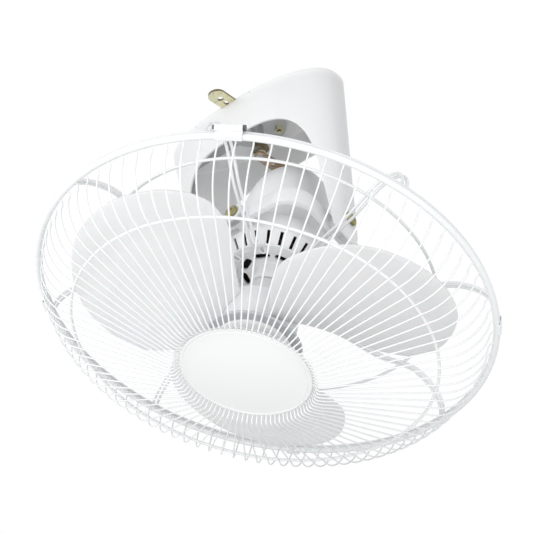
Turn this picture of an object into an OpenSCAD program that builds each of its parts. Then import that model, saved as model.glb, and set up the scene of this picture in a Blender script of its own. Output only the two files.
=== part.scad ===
// Ceiling fan with an orbiting head. The hood hangs from the ceiling and carries a two-axis gimbal.
// The guarded head hangs in the gimbal. A crank on its rear end walks the head round a cone,
// because the crank's ball stud is held at a fixed point under the hood's roof.
// Model frame: origin at the centre of the ceiling face, +Z up, +X along the hood.
// Head frame: origin at the gimbal centre, +Z along the motor shaft towards the rear of the head.

/* [Hood] */
// Length of the hood at the ceiling
hood_l = 223; // [220:1:230]
// Width of the hood at the ceiling
hood_w = 97; // [95:1:104]
// Length of the hood at the ends of its legs
foot_l = 183; // [182:1:188]
// Depth of the hood from the ceiling to the ends of its legs
hood_h = 205; // [200:1:215]
// Thickness of the hood's walls
hood_wall = 2.5; // [2:0.1:3]
// Depth of a leg, from the end of the hood's foot to the arch
leg_depth = 6.5; // [5.5:0.5:7.5]
// Clear width of the arch between the legs
arch_w = foot_l - 2*leg_depth;
// Distance from the ceiling to the top of the arch
arch_top = 45; // [36:1:46]
// Height of the arch's curved part
arch_rise = 105; // [90:1:115]
// Size of the bevels on the ends of the legs
leg_bevel = 20; // [18:1:22]
// Bevel round the hood's top edge
hood_bevel = 2; // [1:0.5:2.5]

/* [Ceiling plate] */
// Length of the plate from ear tip to ear tip
plate_l = 152; // [146:1:164]
// Width of the plate's ears
plate_w = 19; // [17:1:22]
// Thickness of the plate
plate_t = 2.5; // [2:0.5:3]
// Distance between the two round ceiling screw holes
hole_gap = 122; // [120:1:130]
// Diameter of the round ceiling screw holes
hole_d = 6.5; // [5:0.5:7]
// Distance between the centres of the two slots
slot_gap = 103; // [102:1:106]
// Width of the slots
slot_w = 4.5; // [4:0.5:5]
// Length of the slots
slot_l = 7; // [6:0.5:8]
// Circle through the four studs under the plate
stud_circle = 48; // [44:1:52]
// Diameter of the studs
stud_d = 5; // [4:0.5:6]

/* [Yoke] */
// Thickness of the yoke's steel strap
yoke_t = 3; // [2.5:0.5:3.5]
// Width of the yoke's arms
yoke_w = 20; // [18:1:22]
// Clear space between a yoke arm and the hood's end wall, at the roof
yoke_gap = 2; // [1.5:0.5:3]

/* [Gimbal] */
// Distance from the ceiling to the gimbal centre
pivot_drop = 177.5; // [174:0.5:180]
// Tilt of the gimbal frame about the outer pivots, as shown
rest_outer = -21; // [-22:1:22]
// Tilt of the head about the inner pivots, as shown
rest_inner = 7; // [-22:1:22]
// Space between an end of the gimbal frame and the side of the arch
frame_space = 10; // [9:0.5:11]
// Outside length of the gimbal frame, along the outer pivots
frame_l = arch_w - 2*frame_space;
// Outside width of the gimbal frame, along the inner pivots
frame_w = 130; // [129:1:134]
// Height of the gimbal frame's band
frame_h = 20; // [18:1:22]
// Thickness of the gimbal frame's band
frame_t = 5; // [4:0.5:5]
// Outside radius of the gimbal frame's corners
frame_corner = 30; // [26:1:32]
// Diameter of the pivot screws' journals
pivot_d = 8; // [7:0.5:9]
// Diameter of the frame's pivot bosses
boss_d = 20; // [18:1:22]
// Wall of the nylon bushes
bush_wall = 2; // [1.5:0.5:2.5]

/* [Motor] */
// Diameter of the motor's cylindrical body
motor_d = 108; // [104:1:109]
// Length of the motor's cylindrical body
motor_l = 25; // [23:1:27]
// Part of the body's length that lies in front of the pivots
motor_front = 12; // [11:1:13]
// Diameter of the neck behind the body
neck_d = 94; // [90:1:98]
// Length of the neck
neck_l = 20; // [18:1:22]
// Diameter of the rear cover at its lip
cover_d = 96; // [95.5:0.5:100]
// Length of the rear cover
cover_l = 84; // [83:1:86]
// Length of the sloping shoulder that holds the vent slots
shoulder_l = 11; // [9:1:12]
// Diameter of the front flange
flange_d = 88; // [84:1:92]
// Diameter of the bearing collar on the front flange
collar_d = 39; // [36:1:42]
// Length of the bearing collar
collar_l = 20; // [18:1:22]
// Wall thickness of the motor shells and the rear cover
shell_t = 2.5; // [2:0.5:3]
// Number of vent slots round the shoulder
slot_count = 24; // [16:1:28]
// Number of openings round the front flange
window_count = 8; // [6:1:9]
// Turn of the first vent slot round the shaft axis
slot_turn = 3.1; // [0:0.1:15]
// Diameter of the motor shaft
shaft_d = 8; // [7:0.5:9]

/* [Guard] */
// Outside diameter of the guard
guard_d = 460; // [446:2:470]
// Distance from the gimbal centre forward to the guard's widest plane
guard_drop = 75; // [73:1:77]
// Diameter of the wire of the front guard's outer ring
band_d = 6.5; // [6:0.5:7]
// Diameter of the wire of the rear guard's outer ring
ring_wire = 3; // [2.5:0.5:4]
// Depth of the front guard, from the widest plane to the wires' highest point
guard_depth = 82.5; // [80:0.5:86]
// Number of wires in the front guard
wire_count = 90; // [60:2:96]
// Diameter of the front guard's wires
wire_d = 1.6; // [1.4:0.1:2]
// Diameter of the front guard's hoop
front_hoop_d = 356; // [340:2:360]
// Diameter of the rear guard's hoop
rear_hoop_d = 336; // [320:2:340]
// Number of double arms in the rear guard
arm_count = 8; // [8:1:8]
// Diameter of the rear guard's wires
arm_wire_d = 3; // [2.5:0.1:4]
// Distance between the two wires of an arm
arm_pitch = 5; // [4.5:0.1:7]
// Distance from the gimbal centre forward to the flat run of the rear arms
arm_drop = 45; // [44:0.5:48]
// Diameter of the badge in the middle of the front guard
badge_d = 128; // [120:1:130]
// Turn of the first rear arm round the shaft axis
arm_turn = -17.7; // [-18.5:0.1:-17]
// Turn of the band clamp round the shaft axis
clamp_turn = -57.4; // [-60:0.1:-57]
// Turn of the first band clip round the shaft axis
clip_turn = 30.3; // [30:0.1:31]

/* [Blades] */
// Number of blades
blade_count = 3; // [2:1:3]
// Diameter swept by the blades
sweep_d = 392; // [380:2:396]
// Thickness of a blade
blade_t = 2; // [1.5:0.1:2.5]
// Rise of a blade along the shaft for each radian of turn
blade_pitch = 25; // [20:1:27]
// Camber of a blade at its middle
blade_camber = 3; // [1:0.5:4]
// Diameter of the hub drum
hub_d = 76; // [70:1:80]
// Diameter of the grey spinner ring
spinner_d = 96; // [90:1:100]
// Turn of the first blade round the shaft axis, as shown
blade_turn = 17.8; // [-180:0.1:180]

/* [Orbit drive] */
// Distance of the crank's ball stud from the shaft axis
crank_r = 49.5; // [48:0.5:50.5]
// Turn of the crank round the shaft axis, as shown
crank_turn = -107.6; // [-180:0.1:180]
// Starts on both worms
worm_starts = 2; // [1:1:2]
// Teeth on the cross shaft's worm wheel
cross_teeth = 18; // [18:1:18]
// Teeth on the lay shaft's worm wheel
lay_teeth = 16; // [16:1:16]
// Teeth on the lay shaft's pinion
pinion_teeth = 12; // [12:1:12]
// Teeth on the crank's gear
output_teeth = 30; // [30:1:30]
// Tooth module of both worm stages
worm_module = 1.2; // [1.1:0.05:1.2]

/* [Clearances] */
// Radial gap round every turning journal
run_gap = 0.05; // [0.03:0.01:0.09]
// Gap between moving faces that pass each other
face_gap = 0.5; // [0.4:0.1:0.8]
// Radial gap round a screw or stud that only clamps
bolt_gap = 0.3; // [0.2:0.1:0.4]
// Depth that a welded or moulded-in piece sinks into its carrier
weld = 0.3; // [0.2:0.05:0.4]

/* [Hidden] */
$fn = 64;
white = "whitesmoke";
zinc = "#c8b273";
grey = "#9b9ea2";
steel = "#b9bcc0";
nylon = "#f1efe6";
brass = "#c9a24a";

// Hood
oval_power = 2.33;
oval_steps = 64;
arch_power = 3.75;
arch_steps = 24;
roof_t = 3;
roof_z = -plate_t;
roof_under = roof_z - roof_t;
foot_w = hood_w*foot_l/hood_l;
leg_x = arch_w/2;
leg_half_w = foot_w/2*pow(1 - pow(arch_w/foot_l, oval_power), 1/oval_power);

// Ceiling plate, yoke and ball bracket
pad_r = stud_circle/2 + stud_d + 4;
nut_h = 4;
web_under = roof_under - yoke_t;
flange_t = 2;
nut_top = web_under - flange_t;
stud_end = nut_top - nut_h - 2;
yoke_top_x = hood_l/2 - hood_wall - yoke_gap;
arm_x = leg_x + face_gap;
fitting_x = yoke_top_x - 45;
arm_end = pivot_drop + yoke_w/2;
pivot_head_d = 15;
screw_bore = pivot_d + 2*bolt_gap;
pivot_seat = foot_l/2 + (hood_l - foot_l)/2*(1 - pivot_drop/hood_h) - 0.8;

// Stations along the shaft axis, in the head frame
body_front = -motor_front;
body_rear = motor_l - motor_front;
neck_rear = body_rear + neck_l;
cover_end = neck_rear + cover_l;
flange_z = body_front - shoulder_l;
collar_end = flange_z - collar_l;
ring_z = -guard_drop;

// Gimbal
frame_in_l = frame_l/2 - frame_t;
frame_in_w = frame_w/2 - frame_t;
bush_d = pivot_d + 2*run_gap + 2*bush_wall;
boss_x = arm_x - face_gap - 1;
boss_y = frame_w/2 + 7;

// Motor
core_d = motor_d - 2*shell_t;
core_front = body_front + 2;
core_l = motor_l - shell_t - 8;
rotor_d = 60;
coil_h = 7;
grommet_d = 11;
grommet_share = 0.3;
cover_power = 2.8;

// Gearbox and gear train
wheel_z = neck_rear + 26;
worm_pitch_r = 5;
cross_wheel_r = cross_teeth*worm_module/2;
lay_wheel_r = lay_teeth*worm_module/2;
cross_y = worm_pitch_r + cross_wheel_r;
lay_x = worm_pitch_r + 14;
lay_y = cross_y - worm_pitch_r - lay_wheel_r;
lay_dist = norm([lay_x, lay_y]);
lay_angle = atan2(lay_y, lay_x);
spur_module = 2*lay_dist/(pinion_teeth + output_teeth);
worm_lead = worm_starts*PI*worm_module;
worm_l = 14;
wheel_w = 7;
case_r = cover_d/2 - 10;
case_t = 3;
case_l = 53;
spur_z = wheel_z + cross_wheel_r + worm_module + 2.5;
spur_w = 7;
worm_bore = 5.5;
cross_d = worm_bore;
lay_d = 5;
output_d = 8;
lid_z = neck_rear + case_l;
seat_d = 18;

// Crank
arm_t = 2.5;
arm_boss_r = 10;
arm_eye_r = 7;
crank_z = cover_end + 1;
washer_z = crank_z + arm_t;
washer_t = 1;
ball_z = washer_z + washer_t;
ball_h = 2.5;
dome_z = ball_z + ball_h;
dome_h = 5;
stud_r = 2.5;
nut_r = 5;
tip_reach = norm([crank_r + nut_r, dome_z + 0.6*dome_h]);
socket_z = -pivot_drop + max(tip_reach, norm([crank_r, dome_z + dome_h])) + face_gap;

// Hub and blades
blade_mid_z = ring_z - 15;
drum_l = 39;
hub_neck_r = 18;
hub_boss_r = 11;
hub_wall = 2.5;
pin_d = 3;
hub_front = ring_z - drum_l;
hub_rear = collar_end - 2;
drum_z = ring_z + 2;
blade_root = hub_d/2 - 1;
nut_z = hub_front + 22;
pin_z = hub_rear - 8;
spinner_t = 3.5;
cap_rise = 5;
cap_wall = 2;
// Edges of a blade as radius and angle, for a swept radius of 196
lead_edge = [[36, 19], [48, 25], [62, 29], [95, 36], [123, 37], [150, 34], [165, 29], [178, 22],
    [188, 13], [194, 6], [196, 0]];
trail_edge = [[36, 48], [60, 55], [95, 59], [122, 57], [143, 50], [158, 44], [170, 38], [180, 31],
    [188, 22], [193, 15], [196, 8]];
edge_r = 196;

// Front guard wires as radius and depth in front of the widest plane
band_r = guard_d/2 - band_d/2;
lip_gap = 0.15;
clamp_w = 6;
clamp_t = 1.2;
clamp_l = 24.6;
clamp_bolt_d = 3.6;
barrel_r = guard_d/2 + lip_gap + 3.2;
ring_seam = 0.3;
ring_top = ring_z + ring_seam + ring_wire;
shoulder_w = 42;
shoulder_r = guard_d/2 - 8 - shoulder_w;
step_r = badge_d/2 + 7.5;
cone_slope = 0.28;
seat_depth = guard_depth - 7.5;
plate_front = ring_z - seat_depth + wire_d/2 - 0.1;
badge_back = ring_z - seat_depth - wire_d/2 - 0.05;
badge_rise = 4;
hoop_wire = 3;
arm_seat_z = flange_z - shell_t - 2.5 - arm_wire_d/2;
arm_crest_r = rear_hoop_d/2 + 12;
arm_crest_z = -arm_drop + 9;

// ---- helpers ----

// Points of an oval with flattened sides
function oval(a, b, power, steps, sweep = 360) = [
    for (i = [0:steps]) let (t = sweep*i/steps)
        [a*sign(cos(t))*pow(abs(cos(t)), 2/power), b*sign(sin(t))*pow(abs(sin(t)), 2/power)]
];

// Points of a rectangle with round corners
function round_rect(l, w, r) = [
    for (corner = [0:3], i = [0:6]) let (t = 90*corner + 15*i)
        [(corner == 0 || corner == 3 ? 1 : -1)*(l/2 - r) + r*cos(t),
            (corner < 2 ? 1 : -1)*(w/2 - r) + r*sin(t)]
];

function unit(v) = v/norm(v);

// Straight spur gear outline, with its first tooth on +X
function gear_points(teeth, module_size, thin) = [
    for (i = [0:teeth - 1], p = [[-0.30, -1.25], [-0.16, 0.9], [0.16, 0.9], [0.30, -1.25]])
        let (r = teeth*module_size/2 + p.y*module_size, a = 360/teeth*(i + p.x*thin))
            [r*cos(a), r*sin(a)]
];

module gear(teeth, module_size, w, bore, thin = 1, twist = 0) {
    difference() {
        linear_extrude(w, center = true, twist = twist, slices = twist == 0 ? 1 : 2, segments = 4*teeth)
            polygon(gear_points(teeth, module_size, thin));
        cylinder(d = bore, h = 2*w, center = true);
    }
}

// Worm with a right-hand thread along +Z, centred, with a thread crest on +X at its middle
module worm(length, bore) {
    root = worm_pitch_r - 1.25*worm_module;
    tip = worm_pitch_r + 0.85*worm_module;
    turn = 360*length/worm_lead;
    steps = 10*worm_starts;
    difference() {
        translate([0, 0, -length/2]) rotate([0, 0, -turn/2])
            linear_extrude(length, twist = -turn, slices = round(turn/36), segments = steps)
                polygon([
                    for (i = [0:steps - 1]) let (a = 36*(i % 10)/worm_starts, p = min(i % 10, 10 - i % 10))
                        (p < 2 ? tip : p < 3 ? worm_pitch_r - 0.1 : root)*
                        [cos(360*floor(i/10)/worm_starts + a), sin(360*floor(i/10)/worm_starts + a)]
                ]);
        cylinder(d = bore, h = 2*length, center = true);
    }
}

// Round wire swept along a path that lies in the XZ plane, with points given as [x, z]
module wire(path, d, sides) {
    last = len(path) - 1;
    points = [
        for (i = [0:last]) let (t = unit(path[min(i + 1, last)] - path[max(i - 1, 0)]))
            for (j = [0:sides - 1])
            let (a = 360*j/sides)
                [path[i].x - d/2*cos(a)*t.y, d/2*sin(a), path[i].y + d/2*cos(a)*t.x]
    ];
    skin = [
        for (i = [0:last - 1], j = [0:sides - 1]) let (k = (j + 1) % sides, a = i*sides, b = (i + 1)*sides)
            each [[a + j, b + k, b + j], [a + j, a + k, b + k]]
    ];
    ends = [[for (j = [sides - 1:-1:0]) j], [for (j = [0:sides - 1]) last*sides + j]];
    polyhedron(points, concat(skin, ends));
}

module hoop(r, z, d) translate([0, 0, z]) rotate_extrude($fn = 128)
    translate([r, 0]) circle(d = d, $fn = 24);

module ring(outer_d, inner_d, h) {
    difference() {
        cylinder(d = outer_d, h = h);
        translate([0, 0, -1]) cylinder(d = inner_d, h = h + 2);
    }
}

module at_gimbal() translate([0, 0, -pivot_drop]) rotate([rest_outer, 0, 0]) children();
module at_head() at_gimbal() rotate([0, rest_inner, 0]) children();
module at_cross() at_head() translate([0, cross_y, wheel_z]) rotate([0, 90, 0]) children();
module at_lay() at_head() translate([lay_x, lay_y, 0]) children();
module at_crank() at_head() rotate([0, 0, crank_turn]) children();

// A child repeated on both ends of an axis
module both_ends(axis) {
    children();
    mirror(axis) children();
}

// ---- held to the ceiling ----

module hood_form(inset, top, bevel) {
    foot = oval(foot_l/2 - inset, foot_w/2 - inset, oval_power, oval_steps);
    spread = [(hood_l/2 - inset)/(foot_l/2 - inset), (hood_w/2 - inset)/(foot_w/2 - inset)];
    reach = hood_h - bevel + 0.01;
    translate([0, 0, -hood_h]) linear_extrude(reach,
        scale = [for (s = spread) 1 + (s - 1)*reach/hood_h], slices = 1, segments = oval_steps)
        polygon([for (i = [0:oval_steps - 1]) foot[i]]);
    if (bevel > 0) {
        head = oval(hood_l/2 - inset, hood_w/2 - inset, oval_power, oval_steps);
        translate([0, 0, -bevel])
            linear_extrude(bevel, scale = [1 - 2*bevel/hood_l, 1 - 2*bevel/hood_w], slices = 1,
                segments = oval_steps)
            polygon([for (i = [0:oval_steps - 1]) head[i]]);
    }
}

module hood() color(white) {
    difference() {
        union() {
            difference() {
                hood_form(0, 0, hood_bevel);
                intersection() {
                    hood_form(hood_wall, 0, 0);
                    translate([0, 0, roof_under - hood_h])
                        cube([2*hood_l, 2*hood_w, 2*hood_h], center = true);
                }
                intersection() {
                    hood_form(hood_wall + hood_bevel, 0, 0);
                    translate([0, 0, roof_z + hood_h]) cube([2*hood_l, 2*hood_w, 2*hood_h], center = true);
                }
            }
            both_ends([1, 0, 0]) intersection() {
                hood_form(0.5, 0, 0);
                translate([arm_x + yoke_t, 0, -pivot_drop]) rotate([0, 90, 0])
                    cylinder(d = boss_d - 4, h = foot_l);
            }
        }
        translate([0, 0, arch_rise - arch_top - 2*arch_rise]) rotate([90, 0, 0])
            linear_extrude(2*hood_w, center = true) polygon(concat(
                oval(arch_w/2, arch_rise, arch_power, arch_steps, 180),
                [[-arch_w/2, -hood_h], [arch_w/2, -hood_h]]));
        both_ends([0, 1, 0]) rotate([90, 0, 90]) linear_extrude(2*hood_l, center = true) polygon([
            [leg_half_w + 3, leg_bevel - hood_h], [leg_half_w - 0.8*leg_bevel, -hood_h - 1],
            [leg_half_w + 3, -hood_h - 1]
        ]);
        both_ends([0, 1, 0]) translate([-plate_w/2 - face_gap, 0, -plate_t])
            cube([plate_w + 2*face_gap, hood_w, 2*plate_t]);
        translate([0, 0, -pivot_drop]) rotate([0, 90, 0])
            cylinder(d = screw_bore, h = 2*hood_l, center = true);
        both_ends([1, 0, 0]) translate([pivot_seat, 0, -pivot_drop]) rotate([0, 90, 0])
            cylinder(d = pivot_head_d + 1, h = hood_l);
        stud_places() translate([0, 0, -hood_h/2]) cylinder(d = stud_d + 2*bolt_gap, h = hood_h);
    }
}

module stud_places() for (a = [45:90:315]) rotate([0, 0, a]) translate([stud_circle/2, 0, 0]) children();

module mounting_plate() color(zinc) {
    difference() {
        union() {
            translate([0, 0, -plate_t]) cylinder(r = pad_r, h = plate_t);
            translate([-plate_w/2, plate_w/2 - plate_l/2, -plate_t])
                cube([plate_w, plate_l - plate_w, plate_t]);
            both_ends([0, 1, 0]) translate([0, plate_l/2 - plate_w/2, -plate_t])
                cylinder(d = plate_w, h = plate_t);
            stud_places() translate([0, 0, stud_end]) cylinder(d = stud_d, h = -stud_end - plate_t/2);
        }
        both_ends([0, 1, 0]) {
            translate([0, hole_gap/2, -2*plate_t]) cylinder(d = hole_d, h = 3*plate_t);
            for (end = [-1, 1]) translate([0, slot_gap/2 + end*(slot_l - slot_w)/2, -2*plate_t])
                cylinder(d = slot_w, h = 3*plate_t);
            translate([-slot_w/2, slot_gap/2 - (slot_l - slot_w)/2, -2*plate_t])
                cube([slot_w, slot_l - slot_w, 3*plate_t]);
        }
    }
}

module frame_nuts() color(zinc) stud_places() translate([0, 0, nut_top - nut_h]) difference() {
    cylinder(d = stud_d + 4.5, h = nut_h, $fn = 6);
    translate([0, 0, -1]) cylinder(d = stud_d, h = nut_h + 2);
}

module yoke() color(steel) difference() {
    union() {
        intersection() {
            rotate([90, 0, 0]) linear_extrude(yoke_w, center = true) polygon([
                [-yoke_top_x, roof_under], [yoke_top_x, roof_under],
                [arm_x + yoke_t, 20 - pivot_drop], [arm_x + yoke_t, -arm_end], [arm_x, -arm_end],
                [arm_x, 20 - pivot_drop], [yoke_top_x - yoke_t, web_under],
                [yoke_t - yoke_top_x, web_under],
                [-arm_x, 20 - pivot_drop], [-arm_x, -arm_end], [-arm_x - yoke_t, -arm_end],
                [-arm_x - yoke_t, 20 - pivot_drop]
            ]);
            union() {
                translate([0, 0, -pivot_drop]) rotate([0, 90, 0])
                    cylinder(d = yoke_w, h = hood_l, center = true);
                translate([0, 0, hood_h/2 - pivot_drop]) cube([hood_l, yoke_w, hood_h], center = true);
            }
        }
        translate([0, 0, web_under]) cylinder(r = pad_r, h = yoke_t);
    }
    translate([0, 0, -pivot_drop]) rotate([0, 90, 0]) cylinder(d = screw_bore, h = hood_l, center = true);
    stud_places() translate([0, 0, web_under - 1]) cylinder(d = stud_d + 2*bolt_gap, h = yoke_t + 2);
}

module ball_bracket() color(steel) difference() {
    union() {
        translate([0, 0, nut_top]) cylinder(r = pad_r, h = flange_t);
        translate([0, 0, socket_z + 8]) cylinder(d = 14, h = nut_top - socket_z - 7);
        translate([0, 0, socket_z]) cylinder(d1 = 20, d2 = 14, h = 8);
    }
    translate([0, 0, socket_z - 16]) sphere(r = 18);
    stud_places() translate([0, 0, nut_top - 1]) cylinder(d = stud_d + 2*bolt_gap, h = flange_t + 2);
}

module pivot_screws() color(zinc) both_ends([1, 0, 0]) translate([0, 0, -pivot_drop]) rotate([0, 90, 0]) {
    tip = frame_in_l + 1;
    seat = pivot_seat;
    difference() {
        union() {
            translate([0, 0, tip]) cylinder(d = pivot_d, h = seat - tip + 1);
            translate([0, 0, seat]) cylinder(d = pivot_head_d, h = 1.2);
            translate([0, 0, seat + 1.2]) cylinder(d1 = pivot_head_d, d2 = 8, h = 2.6);
        }
        for (a = [0, 90]) rotate([0, 0, a]) translate([0, 0, seat + 3.5]) cube([1.5, 7, 3], center = true);
    }
}

module terminal_block() color(nylon) translate([fitting_x, yoke_w/2 + 14, 0]) difference() {
    translate([-8, -12, roof_under - 14]) cube([16, 24, 14]);
    for (y = [-8, 0, 8]) {
        translate([-9, y, roof_under - 8]) rotate([0, 90, 0]) cylinder(d = 3, h = 18, $fn = 24);
        translate([0, y, roof_under - 15]) cylinder(d = 3.5, h = 6, $fn = 24);
    }
}

module capacitor() color("#3a3c40") translate([fitting_x - 14, -yoke_w/2 - 18, roof_under - 20])
    cube([28, 16, 20]);

// ---- gimbal ----

module gimbal_frame() color(white) at_gimbal() difference() {
    union() {
        translate([0, 0, -frame_h/2]) linear_extrude(frame_h)
            polygon(round_rect(frame_l, frame_w, frame_corner));
        both_ends([1, 0, 0]) translate([frame_in_l, 0, 0]) rotate([0, 90, 0])
            cylinder(d = boss_d, h = boss_x - frame_in_l);
        both_ends([0, 1, 0]) translate([0, frame_in_w, 0]) rotate([-90, 0, 0])
            cylinder(d = boss_d, h = boss_y - frame_in_w);
    }
    translate([0, 0, -frame_h]) linear_extrude(2*frame_h)
        polygon(round_rect(2*frame_in_l, 2*frame_in_w, frame_corner - frame_t));
    rotate([0, 90, 0]) cylinder(d = bush_d, h = 2*frame_l, center = true);
    rotate([90, 0, 0]) cylinder(d = bush_d, h = 2*frame_w, center = true);
}

module bush(length) {
    ring(bush_d, pivot_d + 2*run_gap, length);
}

module outer_bushes() color(nylon) at_gimbal() both_ends([1, 0, 0]) translate([frame_in_l, 0, 0])
    rotate([0, 90, 0]) bush(boss_x - frame_in_l + 0.6);

module inner_bushes() color(nylon) at_gimbal() both_ends([0, 1, 0]) translate([0, frame_in_w - 0.6, 0])
    rotate([-90, 0, 0]) bush(boss_y - frame_in_w + 0.6);

module tilt_clamp() color(steel) at_gimbal() translate([0, -frame_w/2, 0]) rotate([90, 0, 0]) difference() {
    union() {
        cylinder(d = boss_d + 5, h = 5);
        translate([-boss_d/2 - 9, -4, 0]) cube([12, 8, 5]);
    }
    translate([0, 0, -1]) cylinder(d = boss_d, h = 7);
    translate([-boss_d/2 - 10, -0.75, -1]) cube([12, 1.5, 7]);
    translate([-boss_d/2 - 6, 5, 2.5]) rotate([90, 0, 0]) cylinder(d = 2.6, h = 10);
}

// ---- head, not turning ----

module inner_pivot_screws() color(zinc) at_head() both_ends([0, 1, 0]) rotate([-90, 0, 0]) {
    seat = boss_y + 1;
    difference() {
        union() {
            translate([0, 0, motor_d/2 - 2]) cylinder(d = pivot_d, h = seat - motor_d/2 + 2.5);
            translate([0, 0, seat]) cylinder(d = pivot_head_d, h = 1.2);
            translate([0, 0, seat + 1.2]) cylinder(d1 = pivot_head_d, d2 = 8, h = 2.6);
        }
        for (a = [0, 90]) rotate([0, 0, a]) translate([0, 0, seat + 3.5]) cube([1.5, 7, 3], center = true);
    }
}

module motor_front_shell() color(white) at_head() difference() {
    rotate_extrude() polygon([
        [shaft_d/2 + 6, collar_end], [collar_d/2 - 1.5, collar_end], [collar_d/2, collar_end + 1.5],
        [collar_d/2, flange_z - shell_t - 1.5], [collar_d/2 + 1.5, flange_z - shell_t],
        [flange_d/2, flange_z - shell_t], [flange_d/2 + 1, flange_z], [motor_d/2 - 1, body_front],
        [motor_d/2 - 1 - shell_t, body_front], [flange_d/2 - 1.5, flange_z],
        [collar_d/2 - shell_t, flange_z], [collar_d/2 - shell_t, collar_end + 14],
        [shaft_d/2 + 6, collar_end + 14]
    ]);
    for (i = [0:slot_count - 1]) rotate([0, 0, slot_turn + 360*i/slot_count])
        translate([motor_d/2 - 6, 0, (body_front + flange_z)/2]) rotate([0, 40, 0])
            cube([12, 3.2, shoulder_l + 3], center = true);
    for (i = [0:window_count - 1]) rotate([0, 0, 180/window_count - 4.7 + 360*i/window_count])
        translate([collar_d/2 + 9, 0, flange_z]) cube([7, 144/window_count, 12], center = true);
}

module motor_body() color(white) at_head() difference() {
    union() {
        rotate_extrude() polygon([
            [motor_d/2 - shell_t, body_front], [motor_d/2 - 1, body_front], [motor_d/2, body_front + 1],
            [motor_d/2, body_rear - 3], [motor_d/2 - 3, body_rear], [neck_d/2, body_rear],
            [neck_d/2, neck_rear],
            [seat_d/2, neck_rear], [seat_d/2, neck_rear - shell_t],
            [neck_d/2 - shell_t, neck_rear - shell_t],
            [neck_d/2 - shell_t, body_rear - shell_t], [motor_d/2 - shell_t, body_rear - shell_t - 2]
        ]);
        both_ends([0, 1, 0]) rotate([-90, 0, 0]) translate([0, 0, motor_d/2 - 1.5])
            cylinder(d = boss_d - 4, h = frame_in_w - 1 - motor_d/2 + 1.5);
    }
    rotate([90, 0, 0]) cylinder(d = pivot_d, h = 2*motor_d, center = true);
}

// Radius of the rear cover at a share of its length
function cover_r(share) = cover_d/2*pow(1 - pow(share, cover_power), 1/cover_power);

module rear_cover() color(white) at_head() difference() {
    rotate_extrude() polygon(concat(
        [[neck_d/2 - 6, neck_rear]],
        [for (share = [0:0.08:0.96]) [cover_r(share), neck_rear + cover_l*share]],
        [[12, cover_end - 0.5], [11, cover_end], [output_d/2 + 3, cover_end],
        [output_d/2 + 3, cover_end - 7], [12, cover_end - 7]],
        [for (share = [0.88:-0.08:0.04]) [cover_r(share) - shell_t, neck_rear + (cover_l - shell_t)*share]],
        [[neck_d/2 - 6, neck_rear + shell_t]]
    ));
    at_grommet() cylinder(d = grommet_d, h = 12, center = true);
}

module at_grommet() rotate([0, 0, 62])
    translate([cover_r(grommet_share) - 5, 0, neck_rear + grommet_share*cover_l])
    rotate([0, 80, 0]) children();

module stator_core() color(grey) at_head() difference() {
    translate([0, 0, core_front]) cylinder(d = core_d, h = core_l);
    translate([0, 0, core_front - 1]) cylinder(d = rotor_d + 1, h = core_l + 2);
    for (i = [0:15]) rotate([0, 0, 22.5*i + 11.25]) translate([rotor_d/2 + 8, 0, core_front - 1])
        translate([-5.5, -3.5, 0]) cube([11, 7, core_l + 2]);
}

module coils() color("#b87333") at_head() for (z = [core_front - coil_h/2, core_front + core_l + coil_h/2])
    translate([0, 0, z]) rotate_extrude() translate([rotor_d/2 + 8, 0]) polygon([
        for (t = [22.5:45:337.5]) [5.5*cos(t), coil_h/2*sin(t)/sin(67.5)]
    ]);

module bearing(inner_d, outer_d, w) {
    rotate_extrude() polygon([
        [inner_d/2, 0], [inner_d/2 + 1.6, 0], [inner_d/2 + 1.6, 0.6], [outer_d/2 - 1.6, 0.6],
        [outer_d/2 - 1.6, 0],
        [outer_d/2, 0], [outer_d/2, w], [outer_d/2 - 1.6, w], [outer_d/2 - 1.6, w - 0.6],
        [inner_d/2 + 1.6, w - 0.6],
        [inner_d/2 + 1.6, w], [inner_d/2, w]
    ]);
}

module front_bearing() color(steel) at_head() translate([0, 0, collar_end + 4])
    bearing(shaft_d + 2*run_gap, shaft_d + 12, 7);

module rear_bearing() color(steel) at_head() translate([0, 0, neck_rear - shell_t])
    bearing(shaft_d + 2*run_gap, seat_d, 6);

module gearbox_case() color(steel) at_head() difference() {
    translate([0, 0, neck_rear]) cylinder(r = case_r, h = case_l);
    translate([0, 0, neck_rear + case_t]) cylinder(r = case_r - case_t, h = case_l);
    translate([0, 0, neck_rear - 1]) cylinder(d = seat_d, h = case_l);
    translate([0, cross_y, wheel_z]) rotate([0, 90, 0])
        cylinder(d = cross_d + 2*run_gap, h = 3*case_r, center = true);
    translate([lay_x, lay_y, neck_rear - 1]) cylinder(d = lay_d + 2*run_gap, h = case_l);
}

module gearbox_lid() color(steel) at_head() difference() {
    translate([0, 0, lid_z]) cylinder(r = case_r, h = case_t);
    translate([0, 0, lid_z - 1]) cylinder(d = output_d + 2*run_gap, h = case_t + 2);
    translate([lay_x, lay_y, lid_z - 1]) cylinder(d = lay_d + 2*run_gap, h = case_t + 2);
}

module output_bush() color(nylon) at_head() translate([0, 0, cover_end - 7])
    ring(output_d + 6, output_d + 2*run_gap, 7);

module lead_grommet() color("#2c2d30") at_head() at_grommet() ring(grommet_d, 6, 8);

// ---- guard ----

module guard_plate() color(white) at_head() translate([0, 0, flange_z - shell_t - 2.5]) difference() {
    cylinder(d = flange_d + 6, h = 2.5);
    translate([0, 0, -1]) cylinder(d = flange_d - 16, h = 5);
}

module guard_screws() color(zinc) at_head() for (a = [0:90:270]) rotate([0, 0, a + 2])
    translate([flange_d/2 - 3.5, 0, flange_z - shell_t - 4.7]) difference() {
        cylinder(d = 6, h = 2.2);
        translate([0, 0, -0.5]) cube([1, 4, 2.4], center = true);
    }

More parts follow.
